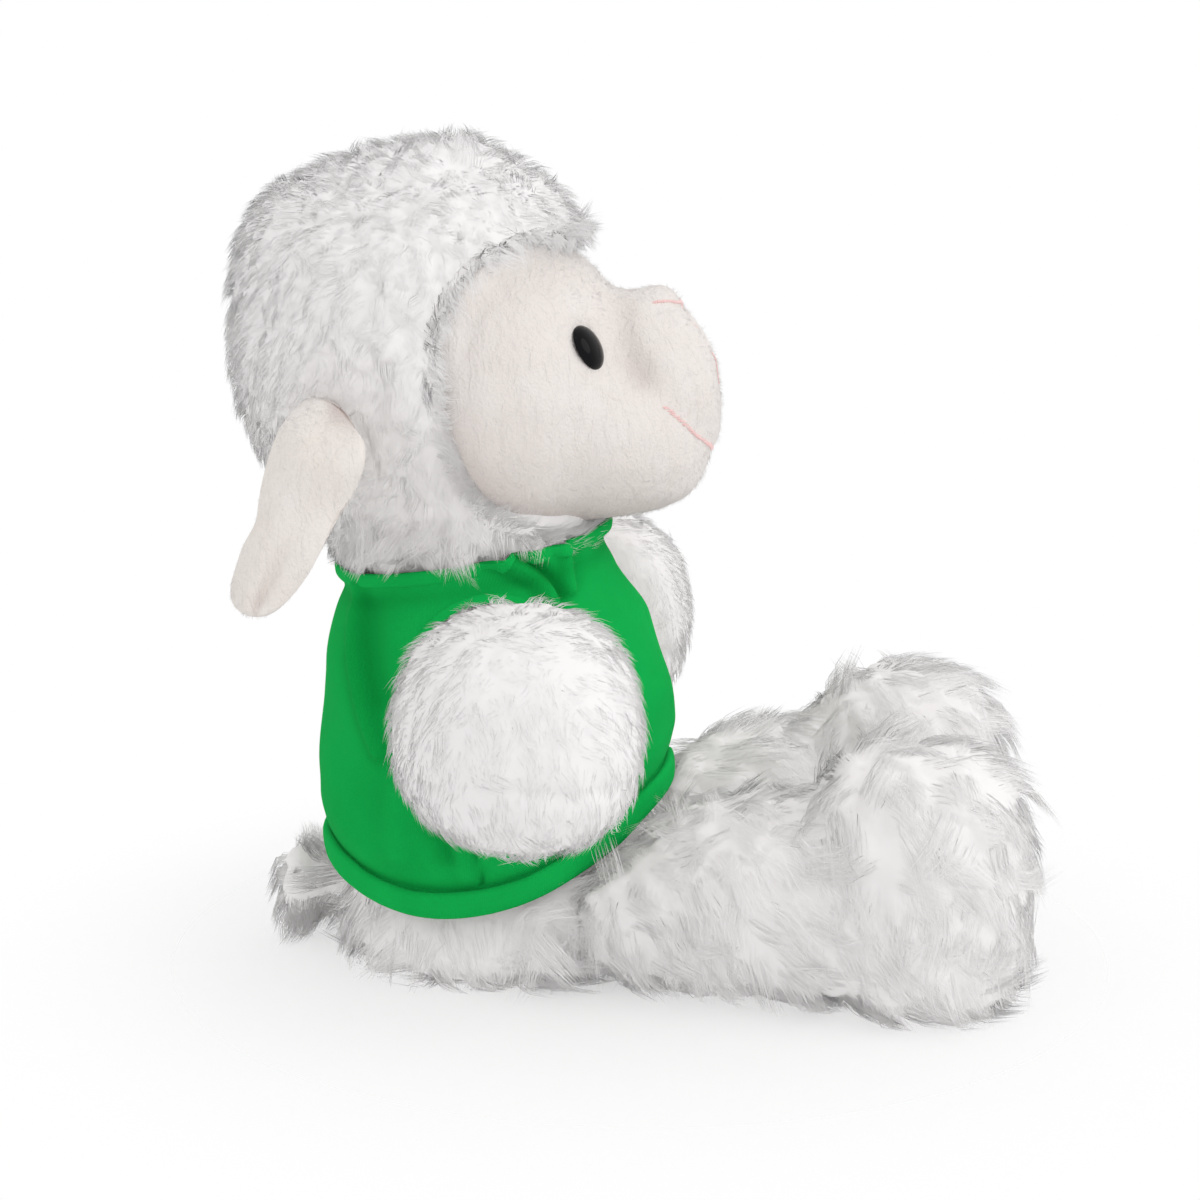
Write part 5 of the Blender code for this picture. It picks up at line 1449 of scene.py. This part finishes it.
def makeTorso(look, shape):
    skin = skinOf("torsoSkin", torsoForm, "torso_front_cover", "torso_back_cover", "torso_stuffing",
                  "seat_pellet_pouch")
    points, normals = pointsOf(skin), normalsOf(skin)
    low = ramp(belowHem(points), *shape["below"])[:, None]
    edge = ramp(np.linalg.norm(points[:, :2], axis=1), *shape["settleFrom"])[:, None]
    outward = normals * (1, shape["across"], 0) * shape["spread"]
    points += (outward - np.array([0, 0, shape["settle"]]) * edge) * low
    points[:, 2] = np.maximum(points[:, 2], shape["floor"])
    movePoints(skin, points)
    dressed(skin, finishes["woolSkin"], "torso", "wool_pile", "torso_front_cover", "torso_back_cover",
            "torso_stuffing")
    field = lockField(skin, look, combSeat)
    rest = pointsOf(skin)
    raiseLocks(skin, look, field)
    shown = ramp(belowHem(rest), *shape["shownBelow"])[:, None]
    movePoints(skin, rest * (1 - shown) + pointsOf(skin) * shown)
    smoothShaded(skin)

    def bare(points):
        return (belowHem(points) > shape["pileBelow"]).astype(float)

    def byHip(points):
        front, back = shape["fringeY"]
        between = (points[:, 1] > front) & (points[:, 1] < back)
        return bare(points) * (np.abs(points[:, 0]) > shape["fringeAside"]) * between

    pile = growPile("seatPile", skin, look, bare, combSeat, field)
    dressed(pile, finishes["woolFibre"], "torso", "wool_pile")
    tufts = growPile("hipFringe", skin, hipFringeLook, byHip, combHip, lockField(skin, hipFringeLook, combHip))
    dressed(tufts, finishes["woolFibre"], "torso", "wool_pile")


makeTorso(seatLook, seatShape)
makeShirt(shirtLook)
print("torso and shirt made")
headSkin = makeHeadWool(headLook, headShape)
makeCollarFringe(headSkin, collarFringeLook, collarFringe)
makeSeamFringe(headSkin, seamFringeLook, seamFringe)
print("head wool made")
face = makeFace(faceLook)
for side, sign in sides.items():
    makeEye(side, sign, eyeLook)
nose = stitchRow("noseStitches", face, noseRoutes, stitchLook)
dressed(nose, finishes["pinkThread"], "head", "pink_thread", "nose_embroidery")
mouth = stitchRow("mouthStitches", face, [mouthRoute], mouthLook)
dressed(mouth, finishes["pinkThread"], "head", "pink_thread", "mouth_embroidery")
print("face, eyes and stitches made")
for side, sign in sides.items():
    makeEar(side, sign, earLook)
    makeArm(side, sign, armLook, armShape)
    makeLeg(side, sign, legLook, legShape)
makeTail(tailLook, tailShape)
print("ears and limbs made")


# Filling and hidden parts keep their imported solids

hiddenFinish = {"stuffing": "fibreFill", "pellet": "pelletCloth", "washer": "washerWhite",
                "thread": "whiteThread"}
for node in nodes.values():
    for word, finish in hiddenFinish.items():
        if word in node.name:
            node.data.materials.clear()
            node.data.materials.append(finishes[finish])


# Stage: floor, light and camera

stageLook = {
    "target": (0, -0.025, 0.089), "distance": 0.6, "azimuth": -85, "elevation": 11, "lens": 72,
    "nearest": 0.01,
    "floorSize": 3.0, "floorColour": (0.97, 0.97, 0.97, 1), "floorRoughness": 0.9,
    # the floor takes the shadow round this middle and lets the sky through further out
    "shadowMiddle": (0, -0.035, 0), "shadowReach": (0.05, 0.18), "shadowShare": 0.55,
    "skyColour": (1, 1, 1, 1), "skyStrength": 0.83, "skySeen": 1.0,
    "keyPower": 4.0, "keyPlace": (-0.40, -0.95, 0.85), "keySize": 1.1, "keyAim": (0, 0, 0.08),
}


def aimed(item, way):                   # turned so that its own -z points along the way
    item.rotation_euler = way.to_track_quat("-Z", "Y").to_euler()


def makeFloor(look):
    bpy.ops.object.select_all(action="DESELECT")
    bpy.ops.mesh.primitive_plane_add(size=look["floorSize"], location=(0, 0, 0))
    floor = named("studioFloor")
    material, tree, shader = newMaterial("paleFloor", look["floorRoughness"], Specular_IOR_Level=0.0)
    shader.inputs["Base Color"].default_value = look["floorColour"]
    centred = addNode(tree, "VectorMath", {"operation": "SUBTRACT"}, i0=placeOf(tree), i1=look["shadowMiddle"])
    reach = addNode(tree, "VectorMath", {"operation": "LENGTH"}, i0=centred.outputs[0]).outputs["Value"]
    near, far = look["shadowReach"]
    fade = addNode(tree, "MapRange", {"interpolation_type": "SMOOTHSTEP"}, i0=reach, i1=near, i2=far,
                   i3=look["shadowShare"], i4=0.0)
    tree.links.new(fade.outputs[0], shader.inputs["Alpha"])
    floor.data.materials.append(material)


def makeSky(look):
    world = bpy.data.worlds.new("studio")
    world.use_nodes = True
    bpy.context.scene.world = world
    tree = world.node_tree
    background = tree.nodes["Background"]
    background.inputs["Color"].default_value = look["skyColour"]
    path = addNode(tree, "LightPath")
    seen = addMath(tree, "MAXIMUM", path.outputs["Is Camera Ray"], path.outputs["Is Transmission Ray"])
    strength = addNode(tree, "MapRange", None, i0=seen, i3=look["skyStrength"], i4=look["skySeen"])
    tree.links.new(strength.outputs[0], background.inputs["Strength"])


def makeKey(look):
    bpy.ops.object.light_add(type="AREA", location=look["keyPlace"])
    key = bpy.context.active_object
    key.name = "softKey"
    key.data.shape = "DISK"
    key.data.energy = look["keyPower"]
    key.data.size = look["keySize"]
    aimed(key, Vector(look["keyAim"]) - key.location)


def makeCamera(look):
    turn, rise = math.radians(look["azimuth"]), math.radians(look["elevation"])
    back = Vector((math.sin(turn) * math.cos(rise), -math.cos(turn) * math.cos(rise), math.sin(rise)))
    bpy.ops.object.camera_add(location=Vector(look["target"]) + back * look["distance"])
    camera = bpy.context.active_object
    aimed(camera, -back)
    camera.data.lens = look["lens"]
    camera.data.clip_start = look["nearest"]
    bpy.context.scene.camera = camera


makeFloor(stageLook)
makeSky(stageLook)
makeKey(stageLook)
makeCamera(stageLook)
bpy.context.scene.view_settings.view_transform = "Standard"
print("stage made")
